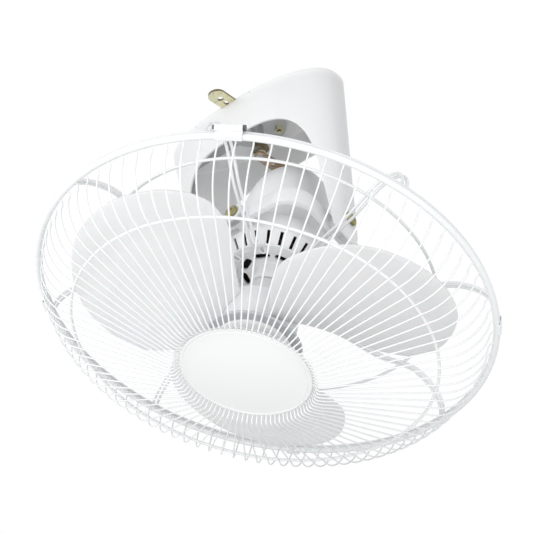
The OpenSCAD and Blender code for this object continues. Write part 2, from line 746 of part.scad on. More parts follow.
// Path of a rear arm: a foot on the motor, a flat run in front of the gimbal, a rise and a round shoulder
function arm_path() = let (end = ring_top - weld) concat(
    [[flange_d/2 - 6, arm_seat_z], [flange_d/2 + 1, arm_seat_z], [flange_d/2 + 18, -arm_drop],
    [rear_hoop_d/2 - 28, -arm_drop]],
    [for (t = [0:18:90])
        [arm_crest_r + (band_r - arm_crest_r)*sin(t), end + (arm_crest_z - end)*cos(t)]]
);

module rear_arms() color(white) at_head() for (i = [0:arm_count - 1], side = [-1, 1])
    rotate([0, 0, arm_turn + 360*i/arm_count]) translate([0, side*arm_pitch/2, 0])
        wire(arm_path(), arm_wire_d, 6);

module rear_hoop() color(white) at_head() {
    rise = (arm_crest_z + arm_drop)*28/(arm_crest_r - rear_hoop_d/2 + 28);
    hoop(rear_hoop_d/2, -arm_drop + rise + arm_wire_d/2 + hoop_wire/2 - weld, hoop_wire);
}

module rear_ring() color(white) at_head() hoop(band_r, ring_top - ring_wire/2, ring_wire);

module guard_band() color(white) at_head() hoop(band_r, ring_z - band_d/2, band_d);

// Strip bent round the outside of both outer rings, with a lip in front and behind
module ring_wrap(turn, t) rotate([0, 0, -turn/2]) rotate_extrude(angle = turn, $fn = 720) {
    inner = guard_d/2 + lip_gap;
    front = ring_z - band_d - lip_gap;
    rear = ring_top + lip_gap;
    polygon([
        [band_r - 1, front - t], [inner + t - 1, front - t], [inner + t, front - t + 1],
        [inner + t, rear + t - 1], [inner + t - 1, rear + t], [band_r - 1, rear + t], [band_r - 1, rear],
        [inner, rear], [inner, front], [band_r - 1, front]
    ]);
}

module band_clamp() color(white) at_head() rotate([0, 0, clamp_turn]) difference() {
    union() {
        ring_wrap(clamp_w, clamp_t);
        translate([guard_d/2 + lip_gap + clamp_t/2 + 0.05, -4.6, ring_top - 2]) rotate([0, 0, 90])
            rotate([90, 0, 0]) linear_extrude(clamp_t, center = true) polygon(round_rect(9, 18, 2));
        translate([barrel_r, 0, ring_z]) rotate([90, 0, 0]) cylinder(d = 6, h = clamp_l, center = true);
    }
    translate([barrel_r, 0, ring_z]) rotate([90, 0, 0])
        cylinder(d = clamp_bolt_d + 0.1, h = 2*clamp_l, center = true);
}

module clamp_bolt() color(steel) at_head() rotate([0, 0, clamp_turn]) translate([barrel_r, 0, ring_z])
    rotate([-90, 0, 0]) {
        cylinder(d = clamp_bolt_d, h = clamp_l + 4, center = true);
        translate([0, 0, clamp_l/2]) cylinder(d = 6, h = 2.4, $fn = 6);
    }

module band_clips() color(white) at_head() for (a = [0:90:180]) rotate([0, 0, clip_turn + a])
    ring_wrap(3.5, 1);

// Path of a front wire: a flat seat under the badge, a step, a straight cone and a round shoulder
function front_path() = let (
    cone_end = guard_depth - cone_slope*(shoulder_r - step_r),
    fall = 0.14*shoulder_w,
    turn = acos(band_d/(cone_end - fall))
) concat(
    [[badge_d/2 - 10, ring_z - seat_depth], [badge_d/2 + 2, ring_z - seat_depth],
    [step_r, ring_z - guard_depth]],
    [for (i = [0:4]) let (t = turn*i/4)
        [shoulder_r + shoulder_w*sin(t), ring_z - (cone_end - fall*sin(t))*cos(t)]],
    [[band_r - band_d/3, ring_z - 0.65*band_d]]
);

module front_wires() color(white) at_head() for (i = [0:wire_count - 1])
    rotate([0, 0, 360*i/wire_count]) wire(front_path(), wire_d, 5);

module front_hoop() color(white) at_head() {
    r = front_hoop_d/2;
    wire_z = lookup(r, front_path());
    slope = (lookup(r + 1, front_path()) - lookup(r - 1, front_path()))/2;
    hoop(r, wire_z + (wire_d/2 + hoop_wire/2 - weld)*norm([1, slope]), hoop_wire);
}

module wire_plate() color(white) at_head() translate([0, 0, plate_front])
    cylinder(d = badge_d - 4, h = 1.5);

module badge() color("#f4f4f1") at_head() rotate_extrude() polygon(concat(
    [[0, plate_front], [8, plate_front], [8, badge_back - badge_rise + 0.5]],
    [for (r = [10:10:badge_d/2 - 3]) [r, badge_back - badge_rise*(1 - pow(2*r/badge_d, 2)) + 0.5]],
    [[badge_d/2 - 2, badge_back], [badge_d/2, badge_back], [badge_d/2, badge_back - 1.2]],
    [for (r = [badge_d/2 - 1:-7:1]) [r, badge_back - 1.5 - badge_rise*(1 - pow(2*r/badge_d, 2))]],
    [[0, badge_back - 1.5 - badge_rise]]
));

// ---- rotor ----

module shaft() color(steel) at_head() difference() {
    union() {
        translate([0, 0, hub_front + 8]) cylinder(d = shaft_d, h = wheel_z - worm_l/2 - hub_front - 8);
        translate([0, 0, wheel_z - worm_l/2 - 1]) cylinder(d = worm_bore, h = worm_l + 4);
    }
    translate([0, 0, pin_z]) rotate([0, 90, 0]) cylinder(d = pin_d, h = 2*shaft_d, center = true);
}

module rotor_core() color(grey) at_head() translate([0, 0, core_front]) ring(rotor_d, shaft_d, core_l);

module main_worm() color(brass) at_head() translate([0, 0, wheel_z]) rotate([0, 0, 90])
    worm(worm_l, worm_bore);

module hub() color(white) at_head() difference() {
    rotate_extrude() polygon([
        [shaft_d/2, hub_rear], [hub_neck_r, hub_rear], [hub_neck_r + 2, hub_rear - 2],
        [hub_neck_r + 3, hub_rear - 13], [hub_d/2 - 2, drum_z + 2],
        [hub_d/2, drum_z - 1], [hub_d/2, hub_front], [hub_d/2 - hub_wall, hub_front],
        [hub_d/2 - hub_wall, drum_z - 3], [hub_neck_r + 1, hub_rear - 18],
        [hub_boss_r, hub_rear - 18], [hub_boss_r, nut_z], [shaft_d/2, nut_z]
    ]);
    translate([0, 0, pin_z]) rotate([0, 90, 0]) cylinder(d = pin_d, h = 2*hub_d, center = true);
}

module drive_pin() color(steel) at_head() translate([0, 0, pin_z]) rotate([0, 90, 0])
    cylinder(d = pin_d, h = 2*hub_neck_r, center = true);

module hub_nut() color(zinc) at_head() translate([0, 0, nut_z - 6]) difference() {
    cylinder(d = shaft_d + 7, h = 6, $fn = 6);
    translate([0, 0, -1]) cylinder(d = shaft_d, h = 8);
}

function edge_at(table, r) = lookup(r*2*edge_r/sweep_d, table);

// One paddle: a cambered helical sheet between its leading and trailing edges
module blade() {
    rows = 12;
    cols = 8;
    sheet = [
        for (side = [1, -1], i = [0:rows])
            let (r = blade_root + (sweep_d/2 - blade_root)*sin(90*i/rows), lead = edge_at(lead_edge, r),
                trail = edge_at(trail_edge, r))
            for (j = [0:cols])
                let (u = j/cols, turn = u*(lead + trail) - trail, bow = blade_camber*(lead + trail)/90)
                    [r*cos(turn), r*sin(turn), blade_pitch*turn*PI/180 - 4*bow*u*(1 - u) + side*blade_t/2]
    ];
    row = cols + 1;
    back = row*(rows + 1);
    skins = [
        for (i = [0:rows - 1], j = [0:cols - 1]) let (a = i*row + j, b = a + row)
            each [[a, a + 1, b], [a + 1, b + 1, b], [back + a, back + b, back + a + 1],
                [back + a + 1, back + b, back + b + 1]]
    ];
    sides = [
        for (i = [0:rows - 1]) let (a = i*row, b = a + row, c = a + cols, d = c + row)
            each [[a, b, back + a], [b, back + b, back + a], [c, back + c, d], [d, back + c, back + d]]
    ];
    ends = [
        for (j = [0:cols - 1]) let (c = rows*row + j)
            each [[j, back + j, j + 1], [j + 1, back + j, back + j + 1], [c, c + 1, back + c],
                [c + 1, back + c + 1, back + c]]
    ];
    polyhedron(sheet, concat(skins, sides, ends));
}

module fan_blades() color(white) at_head() translate([0, 0, blade_mid_z])
    for (i = [0:blade_count - 1]) rotate([0, 0, blade_turn + 360*i/blade_count]) blade();

module spinner_ring() color(grey) at_head() translate([0, 0, hub_front - spinner_t])
    ring(spinner_d, hub_d - 16, spinner_t);

module spinner_cap() color(white) at_head() difference() {
    translate([0, 0, hub_front - spinner_t]) rotate([180, 0, 0]) rotate_extrude() polygon(concat(
        [[hub_d/2 - 11, 0], [hub_d/2, 0], [hub_d/2, 1]],
        [for (t = [15:15:90]) [(hub_d/2)*cos(t), 1 + cap_rise*sin(t)]],
        [[0, 1 + cap_rise - cap_wall]],
        [for (t = [75:-15:30]) [(hub_d/2 - cap_wall)*cos(t), 0.68*cap_rise*sin(t)]]
    ));
}

// ---- gear train ----

module cross_shaft() color(steel) at_cross() cylinder(d = cross_d, h = 2*case_r - 8, center = true);

module worm_wheel(teeth, bore) {
    wheel_r = teeth*worm_module/2;
    twist = -wheel_w*worm_lead/(worm_pitch_r*wheel_r)*180/(2*PI*PI);
    rotate([0, 0, twist/2]) gear(teeth, worm_module, wheel_w, bore, 1, twist);
}

module cross_wheel() color(nylon) at_cross() worm_wheel(cross_teeth, cross_d);

module cross_worm() color(brass) at_cross() translate([0, 0, lay_x]) worm(worm_l, worm_bore);

module lay_shaft() color(steel) at_lay() translate([0, 0, neck_rear + 1])
    cylinder(d = lay_d, h = case_l + case_t - 2);

module lay_wheel() color(nylon) at_lay() translate([0, 0, wheel_z]) worm_wheel(lay_teeth, lay_d);

module lay_pinion() color(steel) at_lay() translate([0, 0, spur_z + spur_w/2])
    rotate([0, 0, lay_angle + 180])
    gear(pinion_teeth, spur_module, spur_w, lay_d);

// ---- crank ----

module output_gear() color(nylon) at_head() translate([0, 0, spur_z + spur_w/2])
    rotate([0, 0, lay_angle + 180/output_teeth]) gear(output_teeth, spur_module, spur_w, output_d);

module output_shaft() color(steel) at_head() translate([0, 0, spur_z - 1])
    cylinder(d = output_d, h = crank_z + arm_t + 2 - spur_z);

module crank_arm() color("#8a6a4c") at_crank() translate([0, 0, crank_z]) difference() {
    union() {
        cylinder(r = arm_boss_r, h = arm_t);
        linear_extrude(arm_t) polygon([
            [0, 1 - arm_boss_r], [crank_r, 1 - arm_eye_r], [crank_r, arm_eye_r - 1],
            [0, arm_boss_r - 1]
        ]);
        translate([crank_r, 0, 0]) cylinder(r = arm_eye_r, h = arm_t);
    }
    translate([0, 0, -1]) cylinder(d = output_d, h = arm_t + 2);
    translate([crank_r, 0, -1]) cylinder(r = stud_r, h = arm_t + 2);
    translate([crank_r/2 - 8, 0, -1]) cylinder(d = 5, h = arm_t + 2);
    translate([crank_r/2 + 8, 0, -1]) cylinder(d = 5, h = arm_t + 2);
}

module at_stud() at_crank() translate([crank_r, 0, 0]) children();

module ball_stud() color(steel) at_stud() {
    translate([0, 0, crank_z - 1.5]) cylinder(r = 4.5, h = 1.5);
    translate([0, 0, crank_z - 0.5]) cylinder(r = stud_r, h = dome_z + 2.5 - crank_z);
}

module friction_washer() color("orangered") at_stud() translate([0, 0, washer_z])
    ring(13, 2*stud_r, washer_t);

module nylon_ball() color(nylon) at_stud() difference() {
    intersection() {
        translate([0, 0, ball_z + ball_h/2]) sphere(d = 11);
        translate([0, 0, ball_z]) cylinder(d = 20, h = ball_h);
    }
    cylinder(r = stud_r, h = 2*cover_end);
}

module dome_nut() color(zinc) at_stud() translate([0, 0, dome_z]) difference() {
    union() {
        cylinder(r = nut_r, h = 2.5, $fn = 6);
        intersection() {
            translate([0, 0, dome_h - 4.2]) sphere(r = 4.2);
            cylinder(r = nut_r, h = dome_h);
        }
    }
    translate([0, 0, -1]) cylinder(r = stud_r, h = 3);
}

hood();
mounting_plate();
frame_nuts();
yoke();
ball_bracket();
pivot_screws();
terminal_block();
capacitor();
gimbal_frame();
outer_bushes();
inner_bushes();
tilt_clamp();
inner_pivot_screws();
motor_front_shell();
motor_body();
rear_cover();
stator_core();
coils();
front_bearing();
rear_bearing();
gearbox_case();
gearbox_lid();
output_bush();
lead_grommet();
guard_plate();
guard_screws();
rear_arms();
rear_hoop();
rear_ring();
guard_band();
band_clamp();
clamp_bolt();
band_clips();
front_wires();
front_hoop();
wire_plate();
badge();
shaft();
rotor_core();
main_worm();
hub();
drive_pin();
hub_nut();
fan_blades();
spinner_ring();
spinner_cap();
cross_shaft();
cross_wheel();
cross_worm();
lay_shaft();
lay_wheel();
lay_pinion();
output_gear();
output_shaft();
crank_arm();
ball_stud();
nylon_ball();
friction_washer();
dome_nut();
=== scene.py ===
"""Looks of a ceiling fan whose guarded head orbits under an arched hood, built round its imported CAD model."""
import math

import bmesh
import bpy
from mathutils import Matrix, Vector


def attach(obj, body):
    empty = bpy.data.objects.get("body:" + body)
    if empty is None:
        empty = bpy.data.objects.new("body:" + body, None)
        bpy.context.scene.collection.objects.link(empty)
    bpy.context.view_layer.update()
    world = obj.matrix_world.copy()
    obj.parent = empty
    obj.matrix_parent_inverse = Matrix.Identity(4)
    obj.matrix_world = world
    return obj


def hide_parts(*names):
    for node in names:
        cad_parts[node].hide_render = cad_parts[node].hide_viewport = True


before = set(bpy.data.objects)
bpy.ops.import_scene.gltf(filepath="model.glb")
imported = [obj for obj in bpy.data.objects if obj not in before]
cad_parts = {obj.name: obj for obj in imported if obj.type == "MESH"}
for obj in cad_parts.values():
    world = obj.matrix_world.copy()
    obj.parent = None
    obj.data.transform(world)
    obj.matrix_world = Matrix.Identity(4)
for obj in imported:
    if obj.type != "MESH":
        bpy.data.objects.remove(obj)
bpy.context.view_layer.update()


# ---- Camera ----
# The photograph looks up from below the near side, with the guard in front of the hood. The camera's
# place, turn and lens were fitted to the guard's rings and the hood together.
camera = bpy.data.objects.new("photo_camera", bpy.data.cameras.new("photo_camera"))
bpy.context.scene.collection.objects.link(camera)
bpy.context.scene.camera = camera
camera_place = (0.55625, -0.83699, -0.77836)
image_right = Vector((0.77642, 0.61782, -0.12440))
image_up = Vector((0.40228, -0.33391, 0.85245))
camera_turn = Matrix((image_right, image_up, image_right.cross(image_up))).transposed().to_4x4()
camera.matrix_world = Matrix.Translation(camera_place) @ camera_turn
camera.data.sensor_width, camera.data.lens, camera.data.clip_end = 36, 77.13, 50


# ---- Surroundings ----
# A plain pale floor 2.6 m below the ceiling, an even sky and three large soft lamps. The sky is plain
# white for the camera and in reflections, and lights the fan at a lower level.
class Wave:
    """A number that varies over a surface. Arithmetic on it adds Math nodes to its material."""

    def __init__(self, finish, socket):
        self.finish, self.socket = finish, socket

    def math(self, operation, *values):
        return self.finish.add("ShaderNodeMath", {"operation": operation}, dict(enumerate(values)))

    def __add__(self, other):
        return self.math("ADD", self, other)

    def __rsub__(self, other):
        return self.math("SUBTRACT", other, self)

    def __mul__(self, other):
        return self.math("MULTIPLY", self, other)

    def __gt__(self, other):
        return self.math("GREATER_THAN", self, other)

    def __lt__(self, other):
        return self.math("LESS_THAN", self, other)

    __radd__, __rmul__ = __add__, __mul__


class Finish:
    """A material of nodes round one Principled shader, whose constants are set on its own sockets."""

    def __init__(self, name, constants):
        self.material = bpy.data.materials.new(name)
        self.material.use_nodes = True
        self.tree = self.material.node_tree
        self.shader = self.tree.nodes["Principled BSDF"]
        self.place = self.add("ShaderNodeTexCoord", output="Object")
        self.feed(self.shader, constants)

    def feed(self, node, values):
        for socket, value in values.items():
            if isinstance(value, Wave):
                self.tree.links.new(value.socket, node.inputs[socket])
            elif isinstance(value, tuple) and node.inputs[socket].type == "RGBA":
                node.inputs[socket].default_value = (*value, 1)
            else:
                node.inputs[socket].default_value = value

    def add(self, kind, settings=None, values=None, output=0):
        node = self.tree.nodes.new(kind)
        for setting, value in (settings or {}).items():
            setattr(node, setting, value)
        self.feed(node, values or {})
        return Wave(self, node.outputs[output])

    def noise(self, scale, detail=2.0, stretch=None):
        """Clouds of so many per metre, made finer along an axis where its stretch is over 1."""
        place = self.place
        if stretch:
            place = self.add("ShaderNodeMapping", values={"Vector": place, "Scale": stretch})
        return self.add("ShaderNodeTexNoise", values={"Vector": place, "Scale": scale, "Detail": detail})

    def mix(self, share, first, second):
        return self.add("ShaderNodeMix", {"data_type": "RGBA"}, {0: share, 6: first, 7: second}, output=2)

    def bump(self, height, strength, depth, under=None):
        """Relief of a depth in metres, over another relief where there is one."""
        values = {"Height": height, "Strength": strength, "Distance": depth}
        if under:
            values["Normal"] = under
        return self.add("ShaderNodeBump", values=values)

    def paint(self, **looks):
        self.feed(self.shader, {name.replace("_", " "): look for name, look in looks.items()})
        return self.material


sky = bpy.data.worlds.new("studio_sky")
bpy.context.scene.world = sky
sky.use_nodes = True
sky_tree = sky.node_tree
ray_path = sky_tree.nodes.new("ShaderNodeLightPath")
seen = ray_path.outputs["Is Camera Ray"]
for ray in ("Is Glossy Ray", "Is Transmission Ray"):
    either = sky_tree.nodes.new("ShaderNodeMath")
    either.operation = "MAXIMUM"
    sky_tree.links.new(seen, either.inputs[0])
    sky_tree.links.new(ray_path.outputs[ray], either.inputs[1])
    seen = either.outputs[0]
sky_light = sky_tree.nodes["Background"]
sky_light.inputs["Color"].default_value = (0.97, 0.98, 1.0, 1)
sky_light.inputs["Strength"].default_value = 0.66
sky_white = sky_tree.nodes.new("ShaderNodeBackground")
sky_white.inputs["Color"].default_value = (1, 1, 1, 1)
sky_choice = sky_tree.nodes.new("ShaderNodeMixShader")
for socket, link in enumerate((seen, sky_light.outputs[0], sky_white.outputs[0])):
    sky_tree.links.new(link, sky_choice.inputs[socket])
sky_tree.links.new(sky_choice.outputs[0], sky_tree.nodes["World Output"].inputs["Surface"])

floor_size, floor_z = 14, -2.6
bpy.ops.mesh.primitive_plane_add(size=floor_size, location=(0, 0, floor_z))
floor = bpy.context.object
floor.name = "studio_floor"
floor_paint = Finish("studio_floor", {"Roughness": 0.8, "Specular IOR Level": 0.1})
floor_tone = floor_paint.mix(floor_paint.noise(3), (0.80, 0.80, 0.80), (0.84, 0.84, 0.83))
floor.data.materials.append(floor_paint.paint(Base_Color=floor_tone))


def soft_lamp(name, place, aim, power, size):
    lamp = bpy.data.objects.new(name, bpy.data.lights.new(name, "AREA"))
    bpy.context.scene.collection.objects.link(lamp)
    lamp.data.energy, lamp.data.size = power, size
    lamp.location = place
    lamp.rotation_euler = (Vector(aim) - Vector(place)).to_track_quat("-Z", "Y").to_euler()


soft_lamp("key_lamp", place=(-0.9, -1.5, 0.05), aim=(0, 0, -0.2), power=12, size=1.2)
soft_lamp("fill_lamp", place=(0.3, -1.0, -1.3), aim=(0, 0, -0.2), power=11, size=1.4)
soft_lamp("side_lamp", place=(1.2, -0.8, -0.55), aim=(0, 0, -0.15), power=5.5, size=0.9)
bpy.context.scene.view_settings.view_transform = "Standard"


# ---- Ceiling plate ----
# Pressed steel plate with two ears, zinc plated and yellow passivated. Its ears take the ceiling screws,
# and four studs under it clamp the hood, the yoke and the ball bracket.
MM = 0.001


def alone(piece=None):
    """Leaves one piece selected, or none."""
    bpy.ops.object.select_all(action="DESELECT")
    if piece:
        piece.select_set(True)
        bpy.context.view_layer.objects.active = piece


def start(name, primitive, **sizes):
    """Adds a primitive, with its place and turn taken into its mesh."""
    alone()
    primitive(**sizes)
    piece = bpy.context.object
    piece.name = piece.data.name = name
    alone(piece)
    bpy.ops.object.transform_apply(location=True, rotation=True, scale=True)
    return piece


def slab(name, low, high):
    """A square-edged block between two corners in millimetres."""
    middle = [(a + b) / 2 * MM for a, b in zip(low, high)]
    size = [(b - a) * MM for a, b in zip(low, high)]
    return start(name, bpy.ops.mesh.primitive_cube_add, size=1, location=middle, scale=size)


def rod(name, radius, low, high, sides=48):
    """A round bar from low to high, which are points in millimetres."""
    low, high = Vector(low) * MM, Vector(high) * MM
    tilt = (high - low).to_track_quat("Z", "Y").to_euler()
    return start(
        name, bpy.ops.mesh.primitive_cylinder_add, vertices=sides, radius=radius * MM,
        depth=(high - low).length, location=(low + high) / 2, rotation=tilt,
    )


def post(name, radius, spot, low, high, sides=48):
    """An upright round bar at a spot (x, y), between two heights."""
    return rod(name, radius, (*spot, low), (*spot, high), sides)


def modified(piece, kind, **settings):
    alone(piece)
    change = piece.modifiers.new(kind, kind)
    for setting, value in settings.items():
        setattr(change, setting, value)
    bpy.ops.object.modifier_apply(modifier=change.name)
    return piece


def together(piece, others):
    alone(piece)
    for other in others:
        other.select_set(True)
    bpy.ops.object.join()
    return piece


def shaped_by(piece, tools, operation="DIFFERENCE"):
    """Cuts a piece with its tools, or fuses them to it, and takes the tools away."""
    tool = together(tools[0], tools[1:])
    modified(piece, "BOOLEAN", operation=operation, object=tool, solver="EXACT", use_self=len(tools) > 1)
    bpy.data.objects.remove(tool)
    return piece


def softened(piece, width, angle=35, segments=2):
    """Breaks the edges of a piece by a width in millimetres and shades it smooth."""
    modified(
        piece, "BEVEL", width=width * MM, segments=segments, limit_method="ANGLE",
        angle_limit=math.radians(angle), harden_normals=False, use_clamp_overlap=True,
    )
    alone(piece)
    bpy.ops.object.shade_smooth_by_angle(angle=math.radians(38))
    return piece


def finished(piece, finish, body, node):
    """Gives a piece its finish, the body that it moves with, and the CAD node that it stands for."""
    piece.data.materials.clear()
    piece.data.materials.append(finish)
    for face in piece.data.polygons:
        face.material_index = 0
    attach(piece, body)
    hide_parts(node)


def dressed(names, finish):
    """Gives CAD nodes that keep their own shape a finish."""
    for name in names:
        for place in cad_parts[name].material_slots:
            place.material = finish


def yellow_zinc(name, colour, tint, dark, side_shade_tone=0):
    """Yellow passivated zinc: a film whose hue drifts, over rolling lines, with dull spots, and a painted shade
    on faces turned sideways, as dark as its last argument asks.
    """
    look = Finish(name, {"Metallic": 0.9, "Coat Weight": 0.15, "Coat Roughness": 0.2})
    film = look.noise(90, 3)
    lines = look.noise(40, 4, stretch=(1, 14, 1))
    spots = look.noise(420, 2) > 0.62
    facing = look.add("ShaderNodeTexCoord", output="Normal")
    upright = look.add("ShaderNodeSeparateXYZ", values={"Vector": facing}, output=2)
    # Faces turned sideways, the plate's edges and its studs among them, are painted dark: a painted shade.
    side_face_shade = (upright * upright < 0.8) * side_shade_tone
    return look.paint(
        Base_Color=look.mix(side_face_shade + 0.35 * spots * (1 - side_face_shade), look.mix(film, colour, tint), dark),
        Roughness=0.26 + film * 0.18 + spots * 0.1,
        Normal=look.bump(lines * 0.6 + film * 0.4, strength=0.25, depth=0.0003),
    )


plate_t, plate_r, ear_w, ear_reach = 2.5, 33, 19, 76
screw_hole_r, screw_hole_y = 3.25, 61
slot_r, slot_run, slot_y = 2.25, 1.25, 51.5
through_plate = (-6, 4)
stud_r, stud_end, stud_x = 2.5, 16.5, 24 * math.sqrt(0.5)
stud_spots = [(x, y) for x in (-stud_x, stud_x) for y in (-stud_x, stud_x)]
ear_y = ear_reach - ear_w / 2
ceiling_plate = slab("ceiling_plate", (-ear_w / 2, -ear_y, -plate_t), (ear_w / 2, ear_y, 0))
ears = [post("ear", ear_w / 2, (0, y), -plate_t, 0) for y in (-ear_y, ear_y)]
shaped_by(ceiling_plate, [post("pad", plate_r, (0, 0), -plate_t, 0, 96)] + ears, "UNION")
plate_drills = []
for side in (-1, 1):
    plate_drills.append(post("screw_hole", screw_hole_r, (0, side * screw_hole_y), *through_plate))
    for run in (-slot_run, slot_run):
        plate_drills.append(post("slot_end", slot_r, (0, side * (slot_y + run)), *through_plate, 32))
    plate_drills.append(slab("slot", (-slot_r, side * slot_y - slot_run, through_plate[0]),
                             (slot_r, side * slot_y + slot_run, through_plate[1])))
shaped_by(ceiling_plate, plate_drills)
softened(ceiling_plate, 0.4)
studs = [softened(post("stud", stud_r, spot, -stud_end, -plate_t / 2, 32), 0.5) for spot in stud_spots]
together(ceiling_plate, studs)
zinc_yellow, zinc_green = (0.80, 0.72, 0.42), (0.74, 0.77, 0.58)
# The plate's film paints shade on its sideways faces.
plate_film = yellow_zinc("plate_zinc", zinc_yellow, zinc_green, (0.10, 0.07, 0.03), side_shade_tone=0.9)
zinc_film = yellow_zinc("yellow_zinc", zinc_yellow, zinc_green, (0.32, 0.27, 0.14))
finished(ceiling_plate, plate_film, "base", "mounting_plate")
dressed(["frame_nuts"], zinc_film)


# ---- Yoke and ball bracket ----
# Galvanised strap steel bent down both legs, and a turned steel socket under its web, dark gold at its
# open end. Both are clamped by the plate's studs, under the hood's roof.
def galvanised(name, light, dark, shine):
    """Hot-dipped steel: faint crystals, drawn scratches along the strap and a few dull patches."""
    look = Finish(name, {"Metallic": 0.85})
    crystals = look.add("ShaderNodeTexVoronoi", values={"Vector": look.place, "Scale": 160.0})
    scratches = look.noise(60, 5, stretch=(1, 1, 18))
    patches = look.noise(22, 3)
    relief = look.bump(scratches, 0.18, 0.0002, under=look.bump(crystals, 0.1, 0.0002))
    return look.paint(
        Base_Color=look.mix(crystals * 0.5 + patches * 0.5, dark, light),
        Roughness=shine + scratches * 0.22 + patches * 0.08, Normal=relief,
    )


steel_grey, socket_gold, gold_below_z = (0.62, 0.63, 0.64), (0.16, 0.12, 0.04), -30
strap_steel = galvanised("galvanised_strap", steel_grey, (0.42, 0.43, 0.45), 0.32)
dressed(["yoke"], strap_steel)
socket_steel = Finish("socket_steel", {"Metallic": 0.8})
height = socket_steel.add("ShaderNodeSeparateXYZ", values={"Vector": socket_steel.place}, output=2)
wear = socket_steel.noise(130, 3)
socket_steel.paint(
    Base_Color=socket_steel.mix((height < gold_below_z * MM) * (0.6 + wear * 0.5), steel_grey, socket_gold),
    Roughness=0.3 + wear * 0.2, Normal=socket_steel.bump(wear, 0.2, 0.0002),
)
dressed(["ball_bracket"], socket_steel.material)


# ---- Terminal block and capacitor ----
# A natural nylon terminal strip with sunk screws, and a resin-filled black box that phases the motor.
# Both are fixed to the underside of the hood's roof.
def milky_nylon(name, colour, shade):
    """Natural nylon: waxy, slightly see-through to light, with faint flow lines."""
    look = Finish(name, {"Subsurface Weight": 0.12, "Subsurface Scale": 0.002, "Specular IOR Level": 0.45})
    cloud = look.noise(70, 3)
    grain = look.noise(900)
    return look.paint(
        Base_Color=look.mix(cloud, colour, shade), Roughness=0.36 + cloud * 0.14,
        Normal=look.bump(grain, 0.12, 0.0002),
    )


natural_nylon = milky_nylon("natural_nylon", (0.86, 0.84, 0.76), (0.80, 0.78, 0.69))
dressed(["terminal_block", "outer_bushes", "inner_bushes", "output_bush"], natural_nylon)
black_case = Finish("black_case", {"Specular IOR Level": 0.4})
speckle = black_case.noise(1400)
dressed(["capacitor"], black_case.paint(
    Base_Color=black_case.mix(speckle, (0.025, 0.026, 0.028), (0.05, 0.05, 0.053)),
    Roughness=0.42 + speckle * 0.2, Normal=black_case.bump(speckle, 0.3, 0.0002),
))


# ---- Hood ----
# Injection-moulded white ABS shell, oval at the ceiling, tapering into two legs round an arch. It is
# clamped between plate and yoke, has a drafted wall, a rounded arch rim and an open inside.
def moulded_white(name, colour, shade, gloss, grain_size, glow=0.04):
    """Moulded plastic: even colour that drifts slightly, fine spark-eroded grain and faint rub marks."""
    look = Finish(name, {"Specular IOR Level": 0.42, "Subsurface Weight": glow,
                         "Subsurface Radius": (1, 1, 1), "Subsurface Scale": 0.05 * glow})
    drift = look.noise(9)
    grain = look.noise(grain_size)
    rubs = look.noise(55, 6, stretch=(1, 1, 5))
    return look.paint(
        Base_Color=look.mix(drift * 0.8 + rubs * 0.2, colour, shade),
        Roughness=gloss + rubs * 0.14 + grain * 0.06,
        Normal=look.bump(grain, 0.10, 0.0002, under=look.bump(drift, 0.08, 0.002)),
    )


def in_edit(piece, *steps):
    """Runs steps on the whole of a piece in edit mode."""
    alone(piece)
    bpy.ops.object.mode_set(mode="EDIT")
    for step in steps:
        bpy.ops.mesh.select_all(action="SELECT")
        step()
    bpy.ops.object.mode_set(mode="OBJECT")


def moved(piece, place):
    piece.data.transform(place)
    return piece


def oval_point(a, b, power, turn):
    """A point of an oval of half-axes a and b, squarer the higher its power."""
    c, s = math.cos(turn), math.sin(turn)
    return a * math.copysign(abs(c) ** (2 / power), c), b * math.copysign(abs(s) ** (2 / power), s)


hood_l, hood_w, foot_l, hood_h, hood_power, hood_sides = 223, 97, 183, 205, 2.33, 144
foot_w = hood_w * foot_l / hood_l
hood_wall, roof_top_z, roof_under_z, rim_round, rim_steps = 2.5, -2.5, -5.5, 3.0, 4


def hood_section(grow, z, share=1.0):
    """Half-lengths of the hood's oval at a height, grown inwards, and that height."""
    drop = -z / hood_h
    return (((hood_l + (foot_l - hood_l) * drop) / 2 - grow) * share,
            ((hood_w + (foot_w - hood_w) * drop) / 2 - grow) * share, z)


def drawn_out(name, sections, sides, power):
    """A skin through oval sections of (half-length, half-width, height): a ring, extruded and resized."""
    a, b, z = sections[0]
    skin = start(name, bpy.ops.mesh.primitive_circle_add, vertices=sides, radius=0.1, fill_type="NOTHING")
    for i, point in enumerate(skin.data.vertices):
        x, y = oval_point(a, b, power, 2 * math.pi * i / sides)
        point.co = (x * MM, y * MM, z * MM)
    alone(skin)
    bpy.ops.object.mode_set(mode="EDIT")
    bpy.ops.mesh.select_all(action="SELECT")
    for (a0, b0, z0), (a1, b1, z1) in zip(sections, sections[1:]):
        bpy.ops.mesh.extrude_edges_move(TRANSFORM_OT_translate={"value": (0, 0, (z1 - z0) * MM)})
        bpy.ops.transform.resize(value=(a1 / a0, b1 / b0, 1), center_override=(0, 0, 0))
    bpy.ops.object.mode_set(mode="OBJECT")
    in_edit(skin, lambda: bpy.ops.mesh.fill_holes(sides=0),
            lambda: bpy.ops.mesh.normals_make_consistent(inside=False))
    return skin


